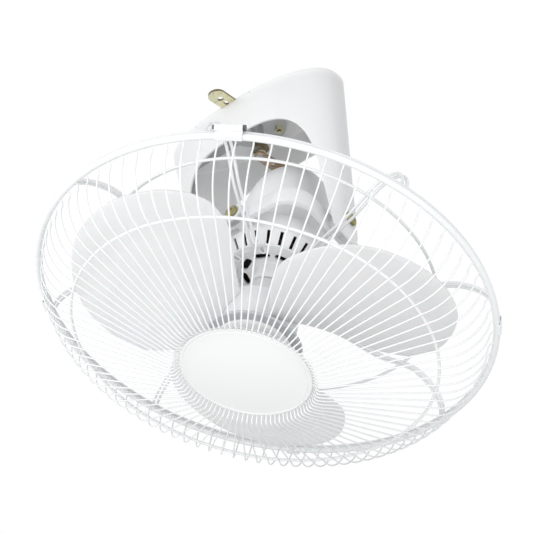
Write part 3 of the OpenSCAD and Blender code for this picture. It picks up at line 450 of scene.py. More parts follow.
roof_shares = (0.3, 0.7, 1)
wall_heights = (-12, -50, -100, -150, -hood_h)
rim_turns = [math.pi / 2 * i / rim_steps for i in range(rim_steps + 1)]
hood = drawn_out(
    "hood_shell",
    [hood_section(hood_wall + 1, roof_top_z, share) for share in roof_shares]
    + [hood_section(hood_wall + 0.7, -0.6)]
    + [hood_section(rim_round * (1 - math.sin(t)), -rim_round * (1 - math.cos(t))) for t in rim_turns]
    + [hood_section(0, z) for z in wall_heights]
    + [hood_section(hood_wall, z) for z in (*reversed(wall_heights), -7)]
    + [hood_section(hood_wall + 1.5, roof_under_z, share) for share in reversed(roof_shares)],
    hood_sides, hood_power,
)
arch_half, arch_foot_z, arch_rise, arch_power, arch_steps = 85, -150, 105, 3.75, 69
arch_below, cutter_half = -90, 80
arch_points = [oval_point(arch_half, arch_rise, arch_power, math.pi * i / arch_steps)
               for i in range(arch_steps + 1)] + [(-arch_half, arch_below), (arch_half, arch_below)]
arch = start("arch", bpy.ops.mesh.primitive_circle_add, vertices=len(arch_points), radius=0.1,
             fill_type="NGON")
for point, (x, z) in zip(arch.data.vertices, arch_points):
    point.co = (x * MM, -cutter_half * MM, (arch_foot_z + z) * MM)
arch_push = {"value": (0, 2 * cutter_half * MM, 0)}
in_edit(arch, lambda: bpy.ops.mesh.extrude_region_move(TRANSFORM_OT_translate=arch_push),
        lambda: bpy.ops.mesh.normals_make_consistent(inside=False))
leg_half_w, leg_bevel = 18.2, 20
leg_in, leg_out = leg_half_w - 0.8 * leg_bevel, leg_half_w + 3
leg_slope = math.atan2(leg_bevel + 1, leg_out - leg_in)
ear_play, notch_y, notch_reach = 0.5, 45, 15
hood_tools = [arch]
for side in (-1, 1):
    corner = slab("leg_bevel", (-150, -60, -60), (150, 60, 0))
    corner_spot = Matrix.Translation((0, side * leg_in * MM, (-hood_h - 1) * MM))
    hood_tools.append(moved(corner, corner_spot @ Matrix.Rotation(side * leg_slope, 4, "X")))
    hood_tools.append(slab("ear_notch", (-ear_w / 2 - ear_play, side * notch_y - notch_reach, roof_top_z),
                           (ear_w / 2 + ear_play, side * notch_y + notch_reach, 3)))
nick_half_w, nick_depth = 0.7, 4
for x in (-49, 29):
    hood_tools.append(slab("rim_nick", (x - nick_half_w, -60, -nick_depth), (x + nick_half_w, -35, 3)))
for tool in hood_tools:
    shaped_by(hood, [tool])
pivot_z, pivot_seat_x, pivot_hole_r, pad_r, pad_in_x, pad_out_x = -177.5, 93.38, 4.3, 8, 88.7, 92.4


def pivot_rod(name, radius, near, far):
    """A round bar along the axis of the outer pivots."""
    return rod(name, radius, (near, 0, pivot_z), (far, 0, pivot_z))


pivot_pads = [pivot_rod("pivot_pad", pad_r, side * pad_in_x, side * pad_out_x) for side in (-1, 1)]
shaped_by(hood, pivot_pads, "UNION")
for side in (-1, 1):
    shaped_by(hood, [pivot_rod("pivot_hole", pivot_hole_r, side * 80, side * 99)])
    shaped_by(hood, [pivot_rod("spot_face", pad_r, side * pivot_seat_x, side * 99)])
for spot in stud_spots:
    shaped_by(hood, [post("stud_hole", stud_r + 0.3, spot, -9, 2, 32)])
softened(hood, 0.9, 40, 3)
hood_white = moulded_white("hood_white", (0.87, 0.87, 0.865), (0.84, 0.845, 0.845), 0.38, 1500, glow=0.4)
finished(hood, hood_white, "base", "hood")


# ---- Pivot screws ----
# Cross-recessed steel screws with a smooth journal, yellow passivated. Two hold the gimbal in the legs
# and two hold the motor in the gimbal.
def turned(name, outline, steps=96):
    """Spins a closed outline of (radius, height) points in millimetres round the Z axis."""
    piece = start(name, bpy.ops.mesh.primitive_circle_add, vertices=len(outline), radius=0.1,
                  fill_type="NOTHING")
    for point, (radius, z) in zip(piece.data.vertices, outline):
        point.co = (radius * MM, 0, z * MM)
    in_edit(
        piece,
        lambda: bpy.ops.mesh.spin(steps=steps, angle=2 * math.pi, center=(0, 0, 0), axis=(0, 0, 1)),
        lambda: bpy.ops.mesh.remove_doubles(threshold=1e-6),
        lambda: bpy.ops.mesh.dissolve_degenerate(threshold=1e-7),
        lambda: bpy.ops.mesh.normals_make_consistent(inside=False),
    )
    return piece


def mirrored(piece, axis):
    """A copy of a piece on the other side of the axis, with its own mesh and its faces outwards."""
    copy = piece.copy()
    copy.data = piece.data.copy()
    bpy.context.scene.collection.objects.link(copy)
    copy.data.transform(Matrix.Scale(-1, 4, axis))
    in_edit(copy, bpy.ops.mesh.flip_normals)
    return copy


journal_r, head_r, head_edge, dome_h, dome_turns = 4, 7.5, 1.2, 3.8, (0, 0.35, 0.7, 1.05, 1.35)
recess_half_l, recess_half_w, recess_floor = 3.6, 0.75, 1.9


def cross_screw(name, tip, seat):
    """A screw along +Z: journal from tip to seat, then a domed head with a cross recess."""
    dome = [(head_r * math.cos(t), seat + head_edge + (dome_h - head_edge) * math.sin(t)) for t in dome_turns]
    journal = [(0, tip), (journal_r - 0.5, tip), (journal_r, tip + 0.5), (journal_r, seat), (head_r, seat)]
    screw = turned(name, journal + dome + [(0, seat + dome_h)], 48)
    for x, y in ((recess_half_l, recess_half_w), (recess_half_w, recess_half_l)):
        shaped_by(screw, [slab("recess", (-x, -y, seat + recess_floor), (x, y, seat + 6))])
    return softened(screw, 0.25, 40)


# Places of the gimbal and the head at rest: the frame tilts 21 degrees, and the head 7 degrees in it.
GIMBAL = Matrix.Translation((0, 0, pivot_z * MM)) @ Matrix.Rotation(math.radians(-21), 4, "X")
HEAD = GIMBAL @ Matrix.Rotation(math.radians(7), 4, "Y")
outer_screw = cross_screw("outer_pivot_screws", tip=71, seat=pivot_seat_x)
moved(outer_screw, Matrix.Rotation(math.radians(28), 4, "Z"))
moved(outer_screw, Matrix.Rotation(math.radians(90), 4, "Y"))
together(outer_screw, [mirrored(outer_screw, (1, 0, 0))])
moved(outer_screw, Matrix.Translation((0, 0, pivot_z * MM)))
screw_film = yellow_zinc("screw_zinc", (0.36, 0.31, 0.13), (0.24, 0.24, 0.11), (0.07, 0.05, 0.02))
finished(outer_screw, screw_film, "base", "pivot_screws")
inner_screw = cross_screw("inner_pivot_screws", tip=52, seat=73)
moved(inner_screw, Matrix.Rotation(math.radians(-90), 4, "X"))
together(inner_screw, [mirrored(inner_screw, (0, 1, 0))])
finished(moved(inner_screw, HEAD), screw_film, "head", "inner_pivot_screws")


# ---- Gimbal frame ----
# Die-cast zinc frame with rounded corners, painted white, with a boss for each of its four pivots. The
# head tilts in its short axis and the frame tilts in the hood's legs.
def painted_casting(name, colour, shade):
    """Stoved paint on a die casting: orange peel, a little sand texture below, worn lighter in spots."""
    look = Finish(name, {"Specular IOR Level": 0.5, "Coat Weight": 0.1, "Coat Roughness": 0.3})
    peel = look.noise(260)
    sand = look.noise(700, 3)
    drift = look.noise(14, 3)
    relief = look.bump(peel, 0.15, 0.0004, under=look.bump(sand, 0.1, 0.0002))
    return look.paint(Base_Color=look.mix(drift, colour, shade), Roughness=0.36 + drift * 0.12, Normal=relief)


def centred_slab(name, length, width, height):
    return slab(name, (-length / 2, -width / 2, -height / 2), (length / 2, width / 2, height / 2))


def rounded_box(name, length, width, height, corner):
    """A block round the origin whose upright edges are rounded."""
    box = centred_slab(name, length, width, height)

    def round_corners():
        bpy.ops.mesh.select_mode(type="EDGE")
        bpy.ops.mesh.select_all(action="DESELECT")
        for edge in bmesh.from_edit_mesh(box.data).edges:
            edge.select_set(abs(edge.verts[0].co.z - edge.verts[1].co.z) > height * MM / 2)
        bmesh.update_edit_mesh(box.data)
        bpy.ops.mesh.bevel(offset=corner * MM, segments=10, affect="EDGES")

    in_edit(box, round_corners)
    return box


frame_l, frame_w, frame_h, frame_t, frame_corner = 150, 130, 20, 5, 30
boss_r, bush_r, boss_x, boss_y, boss_root_x, boss_root_y = 10, 6.05, 84.0, 72, 66, 58
gimbal = rounded_box("gimbal_frame", frame_l, frame_w, frame_h, frame_corner)
bosses = [rod("boss", boss_r, (side * boss_root_x, 0, 0), (side * boss_x, 0, 0)) for side in (-1, 1)]
bosses += [rod("boss", boss_r, (0, side * boss_root_y, 0), (0, side * boss_y, 0)) for side in (-1, 1)]
for boss in bosses:
    shaped_by(gimbal, [boss], "UNION")
frame_inside = (frame_l - 2 * frame_t, frame_w - 2 * frame_t, frame_h + 10, frame_corner - frame_t)
shaped_by(gimbal, [rounded_box("inside", *frame_inside)])
shaped_by(gimbal, [rod("outer_bore", bush_r, (-90, 0, 0), (90, 0, 0))])
shaped_by(gimbal, [rod("inner_bore", bush_r, (0, -80, 0), (0, 80, 0))])
softened(gimbal, 0.8, 40)
casting_white = painted_casting("casting_white", (0.84, 0.845, 0.845), (0.78, 0.79, 0.795))
finished(moved(gimbal, GIMBAL), casting_white, "gimbal", "gimbal_frame")
dressed(["tilt_clamp"], strap_steel)


# ---- Motor shells ----
# Two pressed steel shells, stove-enamelled white: the front one has slots round its shoulder, openings
# in its flange and the bearing collar, and the rear one carries the pivots' bosses.
def stoved_white(name, colour, shade, rough):
    """White stoving enamel on pressed steel: glossy, soft orange peel, faint yellowing in places."""
    look = Finish(name, {"Specular IOR Level": 0.5, "Coat Weight": 0.25, "Coat Roughness": 0.12})
    peel = look.noise(220)
    drift = look.noise(12, 3)
    specks = look.noise(1100, 1) > 0.72
    return look.paint(
        Base_Color=look.mix(drift * 0.85 + specks * 0.15, colour, shade),
        Roughness=rough + drift * 0.1, Normal=look.bump(peel, 0.12, 0.0004),
    )


enamel = stoved_white("enamel_white", (0.86, 0.865, 0.865), (0.80, 0.81, 0.815), 0.26)
body_front, body_rear, neck_rear, flange_z, shell_t, collar_end, collar_in = -12, 13, 33, -23, 2.5, -43, -29
front_shell = turned("motor_front_shell", [
    (10, collar_end), (18, collar_end), (19.5, collar_end + 1.5), (19.5, flange_z - 4),
    (21, flange_z - shell_t), (42.5, flange_z - shell_t), (44, flange_z - 1.9), (44.8, flange_z - 0.6),
    (53, body_front), (50.5, body_front), (42.5, flange_z), (17, flange_z), (17, collar_in), (10, collar_in)])
vent_count, vent_size, vent_turn, vent_lean, vent_r, vent_z = 24, (12, 3.2, 14), 3.1, 40, 48, -17.5
lean = Matrix.Translation((vent_r * MM, 0, vent_z * MM)) @ Matrix.Rotation(math.radians(vent_lean), 4, "Y")
vents = []
for vent in range(vent_count):
    turn = Matrix.Rotation(math.radians(vent_turn + 360 / vent_count * vent), 4, "Z")
    vents.append(moved(centred_slab("vent_slot", *vent_size), turn @ lean))
shaped_by(front_shell, vents)
opening_count, opening_size, opening_turn, opening_r, opening_corner = 8, (7, 18, 12), 17.8, 28.5, 3.2
openings = []
for spoke in range(opening_count):
    opening = centred_slab("flange_opening", *opening_size)
    modified(opening, "BEVEL", width=opening_corner * MM, segments=4, limit_method="ANGLE")
    moved(opening, Matrix.Scale(4, 4, (0, 0, 1)))
    turn = Matrix.Rotation(math.radians(opening_turn + 360 / opening_count * spoke), 4, "Z")
    openings.append(moved(opening, turn @ Matrix.Translation((opening_r * MM, 0, flange_z * MM))))
shaped_by(front_shell, openings)
softened(front_shell, 0.35, 40)
finished(moved(front_shell, HEAD), enamel, "head", "motor_front_shell")

motor_body = turned("motor_body", [
    (51.5, body_front), (53, body_front), (54, body_front + 1), (54, body_rear - 4), (53.4, body_rear - 2),
    (51.5, body_rear - 0.3), (50.5, body_rear), (47, body_rear), (47, neck_rear), (9, neck_rear),
    (9, neck_rear - shell_t), (44.5, neck_rear - shell_t), (44.5, body_rear - shell_t),
    (51.5, body_rear - 4.5)])
pivot_boss_r, pivot_boss_in, pivot_boss_out = 8, 52.5, 59
pivot_bosses = [rod("pivot_boss", pivot_boss_r, (0, side * pivot_boss_in, 0), (0, side * pivot_boss_out, 0))
                for side in (-1, 1)]
for boss in pivot_bosses:
    shaped_by(motor_body, [boss], "UNION")
for side in (-1, 1):
    shaped_by(motor_body, [rod("pivot_bore", journal_r, (0, side * 45, 0), (0, side * 64, 0))])
softened(motor_body, 0.5, 40)
finished(moved(motor_body, HEAD), enamel, "head", "motor_body")


# ---- Motor inside ----
# Laminated stator with two varnished copper windings, a cast rotor on a ground steel shaft, and two
#  shielded ball bearings. Their laminations and copper are painted near black, a painted shade for the inside
#  of the motor. They show as dark shapes through the slots.
def ground_steel(name, light, dark, shine, lines=(1, 1, 30)):
    """Machined metal: fine tool marks round the piece and oily patches."""
    look = Finish(name, {"Metallic": 0.95})
    marks = look.noise(90, 4, stretch=lines)
    oil = look.noise(30, 3)
    return look.paint(
        Base_Color=look.mix(marks * 0.5 + oil * 0.5, dark, light),
        Roughness=shine + oil * 0.16 + marks * 0.08, Normal=look.bump(marks, 0.2, 0.0002),
    )


bright_steel = ground_steel("ground_steel", (0.72, 0.73, 0.74), (0.50, 0.51, 0.53), 0.16)
# Laminations painted near black: a painted shade of the motor's inside.
lamination_painted_dark = ground_steel("lamination_steel_painted_shade", (0.09, 0.092, 0.10), (0.05, 0.052, 0.056), 0.5, (1, 1, 60))
dressed(["shaft", "drive_pin", "front_bearing", "rear_bearing", "cross_shaft", "lay_shaft", "output_shaft",
         "ball_stud", "lay_pinion"], bright_steel)
dressed(["stator_core", "rotor_core"], lamination_painted_dark)
# Copper painted near black: a painted shade of the motor's inside.
copper_painted_dark = Finish("varnished_copper_painted_shade", {"Metallic": 0.7, "Coat Weight": 0.5, "Coat Roughness": 0.15})
strands = copper_painted_dark.add("ShaderNodeTexWave", {"wave_type": "RINGS", "rings_direction": "Z"},
                     {"Vector": copper_painted_dark.place, "Scale": 420.0, "Distortion": 6.0, "Detail": 2.0})
dressed(["coils"], copper_painted_dark.paint(
    Base_Color=copper_painted_dark.mix(strands, (0.03, 0.012, 0.006), (0.10, 0.045, 0.02)),
    Roughness=0.28 + copper_painted_dark.noise(60) * 0.2, Normal=copper_painted_dark.bump(strands, 0.7, 0.0006),
))


# ---- Gearbox ----
# Die-cast aluminium case and lid, brass worms, nylon wheels and a steel pinion. They stand under the
# rear cover and turn the crank once for every 180 turns of the blades.
cast_alloy = painted_casting("cast_aluminium", (0.55, 0.56, 0.57), (0.46, 0.47, 0.48))
dressed(["gearbox_case", "gearbox_lid"], cast_alloy)
brass = ground_steel("machined_brass", (0.80, 0.60, 0.27), (0.62, 0.43, 0.16), 0.22)
dressed(["main_worm", "cross_worm"], brass)
gear_nylon = milky_nylon("gear_nylon", (0.90, 0.89, 0.84), (0.82, 0.81, 0.75))
dressed(["cross_wheel", "lay_wheel", "output_gear"], gear_nylon)


# ---- Rear cover ----
# White moulded dome over the gearbox, pressed on the motor's neck by its lip, with a collar round the
# crank's shaft. The motor lead enters through a black rubber grommet in its side.
cover_l, cover_r, cover_wall, cover_end, cover_power, cover_steps = 84, 48, 2.5, 117, 2.8, 28
lip_r, collar_r, lead_share, lead_turn, lead_tilt = 41, 12, 0.3, 62, 80


def cover_profile(share):
    """Radius and height of the dome at a share of its length."""
    return cover_r * (1 - share ** cover_power) ** (1 / cover_power), neck_rear + cover_l * share


dome_out = [cover_profile(i / cover_steps) for i in range(1, cover_steps)]
dome_in = [(max(r - cover_wall, 9), z - cover_wall * (z - neck_rear) / cover_l)
           for r, z in reversed(dome_out)]
rear_cover = turned(
    "rear_cover",
    [(lip_r, neck_rear), (cover_r - 1, neck_rear), (cover_r, neck_rear + 1)]
    + [point for point in dome_out if point[0] > collar_r + 0.5]
    + [(collar_r, cover_end - 0.6), (collar_r - 1, cover_end), (7, cover_end), (7, cover_end - 7),
       (collar_r, cover_end - 7)]
    + [point for point in dome_in if point[0] > collar_r + 0.5] + [(lip_r, neck_rear + cover_wall)],
)
lead_r, lead_z = cover_profile(lead_share)
GROMMET = (
    Matrix.Rotation(math.radians(lead_turn), 4, "Z") @ Matrix.Translation(((lead_r - 5) * MM, 0, lead_z * MM))
    @ Matrix.Rotation(math.radians(lead_tilt), 4, "Y")
)
shaped_by(rear_cover, [moved(post("lead_hole", 5.5, (0, 0), -6, 9), GROMMET)])
softened(rear_cover, 0.4, 45)
cover_white = moulded_white("cover_white", (0.87, 0.875, 0.875), (0.83, 0.84, 0.845), 0.30, 1500)
finished(moved(rear_cover, HEAD), cover_white, "head", "rear_cover")

grommet = turned("lead_grommet", [
    (3, 0.4), (3.5, 0), (5, 0), (5.5, 0.5), (5.5, 7.2), (4.8, 8), (3.6, 8), (3, 7.4)], 32)
softened(grommet, 0.2, 45)
moved(grommet, HEAD @ GROMMET)
rubber = Finish("black_rubber", {"Specular IOR Level": 0.3})
bloom = rubber.noise(300, 3)
rubber.paint(Base_Color=rubber.mix(bloom, (0.018, 0.018, 0.019), (0.045, 0.045, 0.045)),
             Roughness=0.55 + bloom * 0.25, Normal=rubber.bump(bloom, 0.2, 0.0003))
finished(grommet, rubber.material, "head", "lead_grommet")


# ---- Rear guard ----
# Eight double arms, a hoop and a thin outer ring, all white powder-coated steel wire. The arms are
# welded to a ring plate that four screws hold on the motor's flange.
def powder_coat(name, colour, shade):
    """White powder coat on wire: thick, glossy, with orange peel and grey where it is thin."""
    look = Finish(name, {"Specular IOR Level": 0.5, "Coat Weight": 0.2, "Coat Roughness": 0.15})
    peel = look.noise(520)
    thin = look.noise(38, 3)
    return look.paint(
        Base_Color=look.mix(thin, colour, shade), Roughness=0.27 + thin * 0.14,
        Normal=look.bump(peel, 0.14, 0.0003),
    )


def drawn_wire(name, runs, diameter, sides=8, closed=False):
    """Round wires along runs of points in millimetres, drawn as one curve and made a mesh."""
    curve = bpy.data.curves.new(name, "CURVE")
    curve.dimensions, curve.resolution_u, curve.use_fill_caps = "3D", 3, True
    curve.bevel_depth, curve.bevel_resolution = diameter / 2 * MM, sides // 2 - 2
    for run in runs:
        spline = curve.splines.new("BEZIER")
        spline.bezier_points.add(len(run) - 1)
        spline.use_cyclic_u = closed
        for bend, point in zip(spline.bezier_points, run):
            bend.co = Vector(point) * MM
            bend.handle_left_type = bend.handle_right_type = "AUTO"
    wire = bpy.data.objects.new(name, curve)
    bpy.context.scene.collection.objects.link(wire)
    alone(wire)
    bpy.ops.object.convert(target="MESH")
    bpy.ops.object.shade_smooth_by_angle(angle=math.radians(60))
    return bpy.context.object


def around(points, turn):
    """Points of (radius, side, height) turned round the shaft axis by an angle in degrees."""
    c, s = math.cos(math.radians(turn)), math.sin(math.radians(turn))
    return [(r * c - y * s, r * s + y * c, z) for r, y, z in points]


ring_z, guard_r, guard_depth, ring_wire_d, rear_wire_d, ring_seam = -75, 230, 82.5, 6.5, 3, 0.3
ring_r = guard_r - ring_wire_d / 2
arm_count, arm_turn, arm_pitch, arm_bend_r = 8, -17.7, 5, 2.5
arm_seat_z, arm_flat_z, arm_crest_r, arm_crest_z = -29.5, -45, 180, -36
arm_end_z = ring_z + ring_seam + rear_wire_d - 0.3


def arm_side(side):
    """One wire of an arm: from the plate out along the back, over a crest and down to the ring."""
    shoulder = [
        (arm_crest_r + (ring_r - arm_crest_r) * math.sin(t), side,
         arm_end_z + (arm_crest_z - arm_end_z) * math.cos(t))
        for t in (0, 0.32, 0.64, 0.96, 1.28, math.pi / 2)
    ]
    return [(40, side, arm_seat_z), (45, side, arm_seat_z), (50, side, -33), (58, side, -41),
            (64, side, arm_flat_z), (100, side, arm_flat_z), (138, side, arm_flat_z),
            (146, side, -44)] + shoulder


inner_bend = [(40 - arm_bend_r * math.cos(t), arm_bend_r * math.sin(t), arm_seat_z) for t in (-0.9, 0, 0.9)]
hairpin = list(reversed(arm_side(-arm_pitch / 2))) + inner_bend + arm_side(arm_pitch / 2)
arm_runs = [around(hairpin, arm_turn + 360 / arm_count * arm) for arm in range(arm_count)]
coated = powder_coat("powder_white", (0.86, 0.87, 0.87), (0.80, 0.815, 0.82))
rear_arms = moved(drawn_wire("rear_arms", arm_runs, rear_wire_d, 10), HEAD)
finished(rear_arms, coated, "head", "rear_arms")


rear_hoop_r, rear_hoop_z, hoop_steps = 168, -38.6, 72


def hoop(name, radius, z, diameter):
    """A round wire closed to a ring round the shaft axis, put in its place on the head."""
    turns = [math.radians(360 / hoop_steps * i) for i in range(hoop_steps)]
    run = [(radius * math.cos(turn), radius * math.sin(turn), z) for turn in turns]
    return moved(drawn_wire(name, [run], diameter, 12, closed=True), HEAD)


rear_hoop = hoop("rear_hoop", rear_hoop_r, rear_hoop_z, rear_wire_d)
finished(rear_hoop, coated, "head", "rear_hoop")
rear_ring = hoop("rear_ring", ring_r, ring_z + ring_seam + rear_wire_d / 2, rear_wire_d)
finished(rear_ring, coated, "head", "rear_ring")

guard_plate = turned("guard_plate", [
    (36, -28), (46.6, -28), (47, -27.6), (47, -25.9), (46.6, -25.5), (36, -25.5)])
softened(guard_plate, 0.3, 40)
finished(moved(guard_plate, HEAD), coated, "head", "guard_plate")
dressed(["guard_screws"], coated)


# ---- Guard ring ----
# Thick hard-drawn steel wire closed to a ring, white like the wires welded into it. The rear guard's thin
# ring lies on it, and a clamp with a cross bolt and three spring clips hold the pair together.
guard_ring = hoop("guard_band", ring_r, ring_z - ring_wire_d / 2, ring_wire_d)
finished(guard_ring, coated, "head", "guard_band")
dressed(["band_clamp", "band_clips"], coated)
dressed(["clamp_bolt"], ground_steel("slate_steel", (0.16, 0.165, 0.18), (0.09, 0.092, 0.10), 0.35))


# ---- Front guard ----
# Ninety radial wires, spot-welded to a hoop and to the wire plate behind the badge, and butted to the
# thick ring at their outer ends. All are white powder-coated steel.
wire_count, wire_d, seat_depth, step_r, cone_slope = 90, 1.6, 75, 71.5, 0.28
shoulder_w, shoulder_steps, shoulder_slope = 42, 7, 0.14
shoulder_r = guard_r - 8 - shoulder_w
cone_end = guard_depth - cone_slope * (shoulder_r - step_r)
shoulder_turn = math.acos(ring_wire_d / (cone_end - shoulder_slope * shoulder_w))
front_side = [(54, 0, ring_z - seat_depth), (64, 0, ring_z - seat_depth), (67, 0, ring_z - seat_depth - 2.2),
              (step_r - 2, 0, ring_z - guard_depth + 0.6), (step_r + 2, 0, ring_z - guard_depth + 0.2)]
front_side += [(r, 0, ring_z - guard_depth + cone_slope * (r - step_r)) for r in (90, 125, 160)]
for step in range(shoulder_steps + 1):
    turn = shoulder_turn * step / shoulder_steps
    fall = cone_end - shoulder_slope * shoulder_w * math.sin(turn)
    front_side.append((shoulder_r + shoulder_w * math.sin(turn), 0, ring_z - fall * math.cos(turn)))
front_side.append((ring_r - ring_wire_d / 3, 0, ring_z - 0.65 * ring_wire_d))
front_runs = [around(front_side, 360 / wire_count * wire) for wire in range(wire_count)]
front_wires = moved(drawn_wire("front_wires", front_runs, wire_d), HEAD)
finished(front_wires, coated, "head", "front_wires")
hoop_r, hoop_wire_d, hoop_in = 178, 3, 2.0
hoop_depth = guard_depth - cone_slope * (hoop_r - step_r) - hoop_in * math.hypot(1, cone_slope)
front_hoop = hoop("front_hoop", hoop_r, ring_z - hoop_depth, hoop_wire_d)
finished(front_hoop, coated, "head", "front_hoop")
dressed(["wire_plate"], coated)


# ---- Badge ----
# Domed disc of glossy white plastic snapped over the wire plate, with a fine groove inside its rim. Its
# face is left bare.
badge_r, badge_rise, badge_wall = 64, 4, 1.5
badge_back = ring_z - seat_depth - wire_d / 2 - 0.05
plate_front = ring_z - seat_depth + wire_d / 2 - 0.1


def badge_dome(radius):
    return badge_rise * (1 - (radius / badge_r) ** 2)


badge = turned(
    "badge",
    [(0, plate_front), (8, plate_front), (8, badge_back - badge_rise + 0.5)]
    + [(r, badge_back - badge_dome(r) + 0.5) for r in (10, 20, 30, 40, 50, 60)]
    + [(62, badge_back), (63.6, badge_back), (64, badge_back - 0.5), (64, badge_back - 1.0),
       (63.4, badge_back - 1.7), (61.4, badge_back - 2.0), (61.0, badge_back - 1.4),
       (60.4, badge_back - 1.4), (60.0, badge_back - 2.1)]
    + [(r, badge_back - badge_wall - badge_dome(r)) for r in (59, 52, 45, 37, 29, 20, 10)]
    + [(0, badge_back - badge_wall - badge_rise)], 128,
)
softened(badge, 0.2, 40)
badge_white = moulded_white("badge_white", (0.88, 0.88, 0.875), (0.86, 0.86, 0.855), 0.22, 2400)
finished(moved(badge, HEAD), badge_white, "head", "badge")


# ---- Blades and hub ----
# Three broad moulded paddles on a drum whose neck is pinned to the shaft, in white translucent plastic.
# A grey ring and a domed cap close the drum's front.
def clouded_plastic(name, colour, shade):
    """Milky styrene: even, satin, letting some light through, with faint flow marks from the hub outwards."""
    look = Finish(name, {"Specular IOR Level": 0.42, "Subsurface Weight": 0.1, "Subsurface Scale": 0.003})
    flow = look.noise(26, 4, stretch=(1, 1, 3))
    grain = look.noise(1300)
    return look.paint(
        Base_Color=look.mix(flow, colour, shade), Roughness=0.34 + flow * 0.12,
        Normal=look.bump(grain, 0.08, 0.0002),
    )


hub_r, sweep_r, blade_mid_z, blade_t, blade_rise, blade_bow, blade_turn = 38, 196, -90, 2.0, 25, 3, 17.8
blade_rows, blade_cols = 30, 24
# Edges of a blade as radius in millimetres and angle from its middle in degrees
lead_edge = [(37, 19), (48, 25), (62, 29), (95, 36), (123, 37), (150, 34), (165, 29), (178, 22), (188, 13),
             (194, 6), (196, 0)]
trail_edge = [(37, 48), (60, 55), (95, 59), (122, 57), (143, 50), (158, 44), (170, 38), (180, 31), (188, 22),
              (193, 15), (196, 8)]


def edge_angle(edge, radius):
    for (r0, a0), (r1, a1) in zip(edge, edge[1:]):
        if radius <= r1:
            return a0 + (a1 - a0) * (radius - r0) / (r1 - r0)
    return edge[-1][1]


def blade_sheet():
    """A grid laid between the two edges, risen and bowed like a paddle, thickened and rounded."""
    sheet = start("blade", bpy.ops.mesh.primitive_grid_add, x_subdivisions=blade_cols,
                  y_subdivisions=blade_rows, size=1)
    for point in sheet.data.vertices:
        across, out = point.co.x + 0.5, point.co.y + 0.5
        r = hub_r - 1 + (sweep_r - hub_r + 1) * math.sin(math.pi / 2 * out)
        lead, trail = edge_angle(lead_edge, r), edge_angle(trail_edge, r)
        turn = math.radians(across * (lead + trail) - trail)
        bow = blade_bow * (lead + trail) / 90
        height = blade_rise * turn - 4 * bow * across * (1 - across)
        point.co = (r * math.cos(turn) * MM, r * math.sin(turn) * MM, height * MM)
    modified(sheet, "SMOOTH", factor=0.5, iterations=2)
    modified(sheet, "SOLIDIFY", thickness=blade_t * MM, offset=0)
    modified(sheet, "BEVEL", width=0.7 * MM, segments=2, limit_method="ANGLE", angle_limit=math.radians(50))
    alone(sheet)
    bpy.ops.object.shade_smooth_by_angle(angle=math.radians(50))
    return sheet


blade_white = clouded_plastic("blade_white", (0.82, 0.825, 0.825), (0.78, 0.785, 0.79))
paddles = []
for blade in range(3):
    paddle = moved(blade_sheet(), Matrix.Rotation(math.radians(blade_turn + 120 * blade), 4, "Z"))
    paddles.append(moved(paddle, Matrix.Translation((0, 0, blade_mid_z * MM))))
blades = together(paddles[0], paddles[1:])
blades.name = "fan_blades_set"
finished(moved(blades, HEAD), blade_white, "rotor", "fan_blades")

drum_front, neck_front = -114, -92
hub = turned("hub_drum", [
    (4, -45), (17, -45), (19, -45.8), (20, -47.5), (20.6, -58), (22, -62), (26, -66), (31, -69.5),
    (35.5, -71.2), (37.4, -72.6), (hub_r, -74.5), (hub_r, drum_front), (35.5, drum_front), (35.5, -76),
    (19, -63), (11, -63), (11, neck_front), (4, neck_front)])
softened(hub, 0.4, 45)
finished(moved(hub, HEAD), blade_white, "rotor", "hub")
dressed(["hub_nut"], zinc_film)

ring_front = drum_front - 3.5
spinner_ring = turned("spinner_ring", [
    (30, drum_front), (47, drum_front), (48, drum_front - 0.8), (48, drum_front - 2.6), (47, ring_front),
    (30, ring_front)])
softened(spinner_ring, 0.4, 40)
ring_grey = painted_casting("ring_grey", (0.56, 0.575, 0.59), (0.48, 0.495, 0.51))
finished(moved(spinner_ring, HEAD), ring_grey, "rotor", "spinner_ring")
cap_rise, cap_edge, cap_inner_r, cap_inner_rise = 5, 1, 36, 3.4
spinner_cap = turned(
    "spinner_cap",
    [(27, ring_front), (hub_r, ring_front)]
    + [(hub_r * math.cos(t), ring_front - cap_edge - cap_rise * math.sin(t))
       for t in (0, 0.2, 0.4, 0.6, 0.8, 1.0, 1.2, 1.4)]
    + [(0, ring_front - cap_edge - cap_rise), (0, ring_front - 4)]
    + [(cap_inner_r * math.cos(t), ring_front - cap_inner_rise * math.sin(t)) for t in (1.4, 1.1, 0.8, 0.55)],
)
softened(spinner_cap, 0.2, 50)
finished(moved(spinner_cap, HEAD), badge_white, "rotor", "spinner_cap")


# ---- Orbit crank ----
# A pressed steel arm on the gearbox's shaft carries a ball stud: red fibre washer, nylon ball and a
# domed nut. The ball turns in the socket under the hood's roof and walks the head round its cone.
def arc(centre, radius, first, last, steps):
    """Points of an arc in an outline, with its ends' angles in degrees."""
    turns = [math.radians(first + (last - first) * i / steps) for i in range(steps + 1)]
    return [(centre[0] + radius * math.cos(turn), centre[1] + radius * math.sin(turn)) for turn in turns]


crank_r, crank_turn, crank_z, crank_t = 49.5, -107.6, 118, 2.5
blank_half_w, boss_half_w, eye_half_w = 7.5, 9, 6.4
shaft_hole_r, stud_hole_r, light_hole_x, washer_t, ball_t = 4, 2.5, 8, 1, 2.5
washer_z = crank_z + crank_t
ball_z = washer_z + washer_t
nut_z = ball_z + ball_t
CRANK = HEAD @ Matrix.Rotation(math.radians(crank_turn), 4, "Z")
STUD = CRANK @ Matrix.Translation((crank_r * MM, 0, 0))
crank_arm = slab("crank_arm", (0, -blank_half_w, crank_z), (crank_r, blank_half_w, crank_z + crank_t))


def taper_arm():
    for point in bmesh.from_edit_mesh(crank_arm.data).verts:
        point.co.y *= (eye_half_w if point.co.x > crank_r / 2 * MM else boss_half_w) / blank_half_w


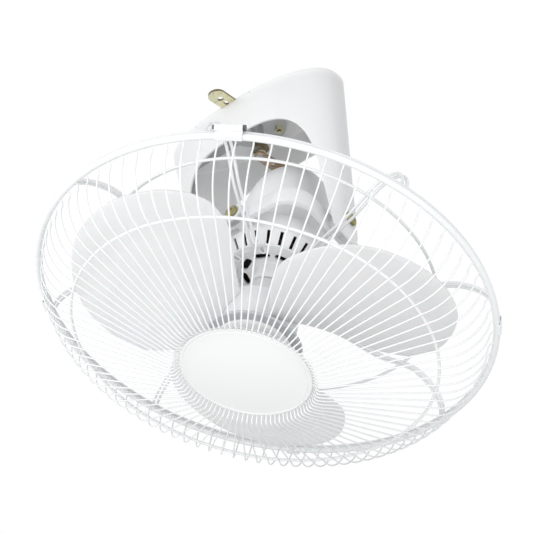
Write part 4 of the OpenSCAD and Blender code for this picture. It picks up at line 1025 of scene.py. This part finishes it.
in_edit(crank_arm, taper_arm)
for name, radius, x in (("arm_boss", 10, 0), ("arm_eye", 7, crank_r)):
    shaped_by(crank_arm, [post(name, radius, (x, 0), crank_z, crank_z + crank_t)], "UNION")
light_holes = [(crank_r / 2 + side * light_hole_x, stud_hole_r) for side in (-1, 1)]
for x, radius in [(0, shaft_hole_r), (crank_r, stud_hole_r)] + light_holes:
    shaped_by(crank_arm, [post("arm_hole", radius, (x, 0), crank_z - 3, crank_z + 6, 32)])
softened(crank_arm, 0.35, 40)
bronze_film = yellow_zinc("bronze_film", (0.58, 0.42, 0.27), (0.50, 0.40, 0.30), (0.22, 0.14, 0.08))
finished(moved(crank_arm, CRANK), bronze_film, "crank", "crank_arm")

washer = turned("friction_washer", [
    (stud_hole_r, washer_z), (6.3, washer_z), (6.5, washer_z + 0.2), (6.5, ball_z - 0.2), (6.3, ball_z),
    (stud_hole_r, ball_z)], 48)
softened(washer, 0.1, 45)
fibre = Finish("red_fibre", {"Specular IOR Level": 0.3})
felt = fibre.noise(700, 4)
fibre.paint(Base_Color=fibre.mix(felt, (0.72, 0.16, 0.05), (0.85, 0.30, 0.12)),
            Roughness=0.5 + felt * 0.25, Normal=fibre.bump(felt, 0.3, 0.0003))
finished(moved(washer, STUD), fibre.material, "crank", "friction_washer")

ball_r, ball_face_r = 5.5, 5.1
ball_side = arc((0, (ball_z + nut_z) / 2), ball_r, -13.1, 13.1, 6)[1:-1]
ball = turned("nylon_ball", [(stud_hole_r, ball_z), (ball_face_r, ball_z)] + ball_side
              + [(ball_face_r, nut_z), (stud_hole_r, nut_z)], 48)
softened(ball, 0.1, 50)
finished(moved(ball, STUD), gear_nylon, "crank", "nylon_ball")

nut_r, nut_t, nut_dome_r = 5, 2.5, 4.2
dome_nut = start("dome_nut", bpy.ops.mesh.primitive_cylinder_add, vertices=6, radius=nut_r * MM,
                 depth=nut_t * MM, location=(0, 0, (nut_z + nut_t / 2) * MM))
nut_dome = arc((0, nut_z + 0.8), nut_dome_r, 4, 86, 8)
nut_dome = turned("nut_dome", [(0, nut_z + 1), (nut_dome_r, nut_z + 1)] + nut_dome + [(0, nut_z + 5)], 48)
shaped_by(dome_nut, [nut_dome], "UNION")
shaped_by(dome_nut, [post("nut_bore", stud_hole_r, (0, 0), 120, nut_z + nut_t, 32)])
softened(dome_nut, 0.25, 40)
moved(dome_nut, Matrix.Rotation(math.radians(30), 4, "Z"))
finished(moved(dome_nut, STUD), zinc_film, "crank", "dome_nut")
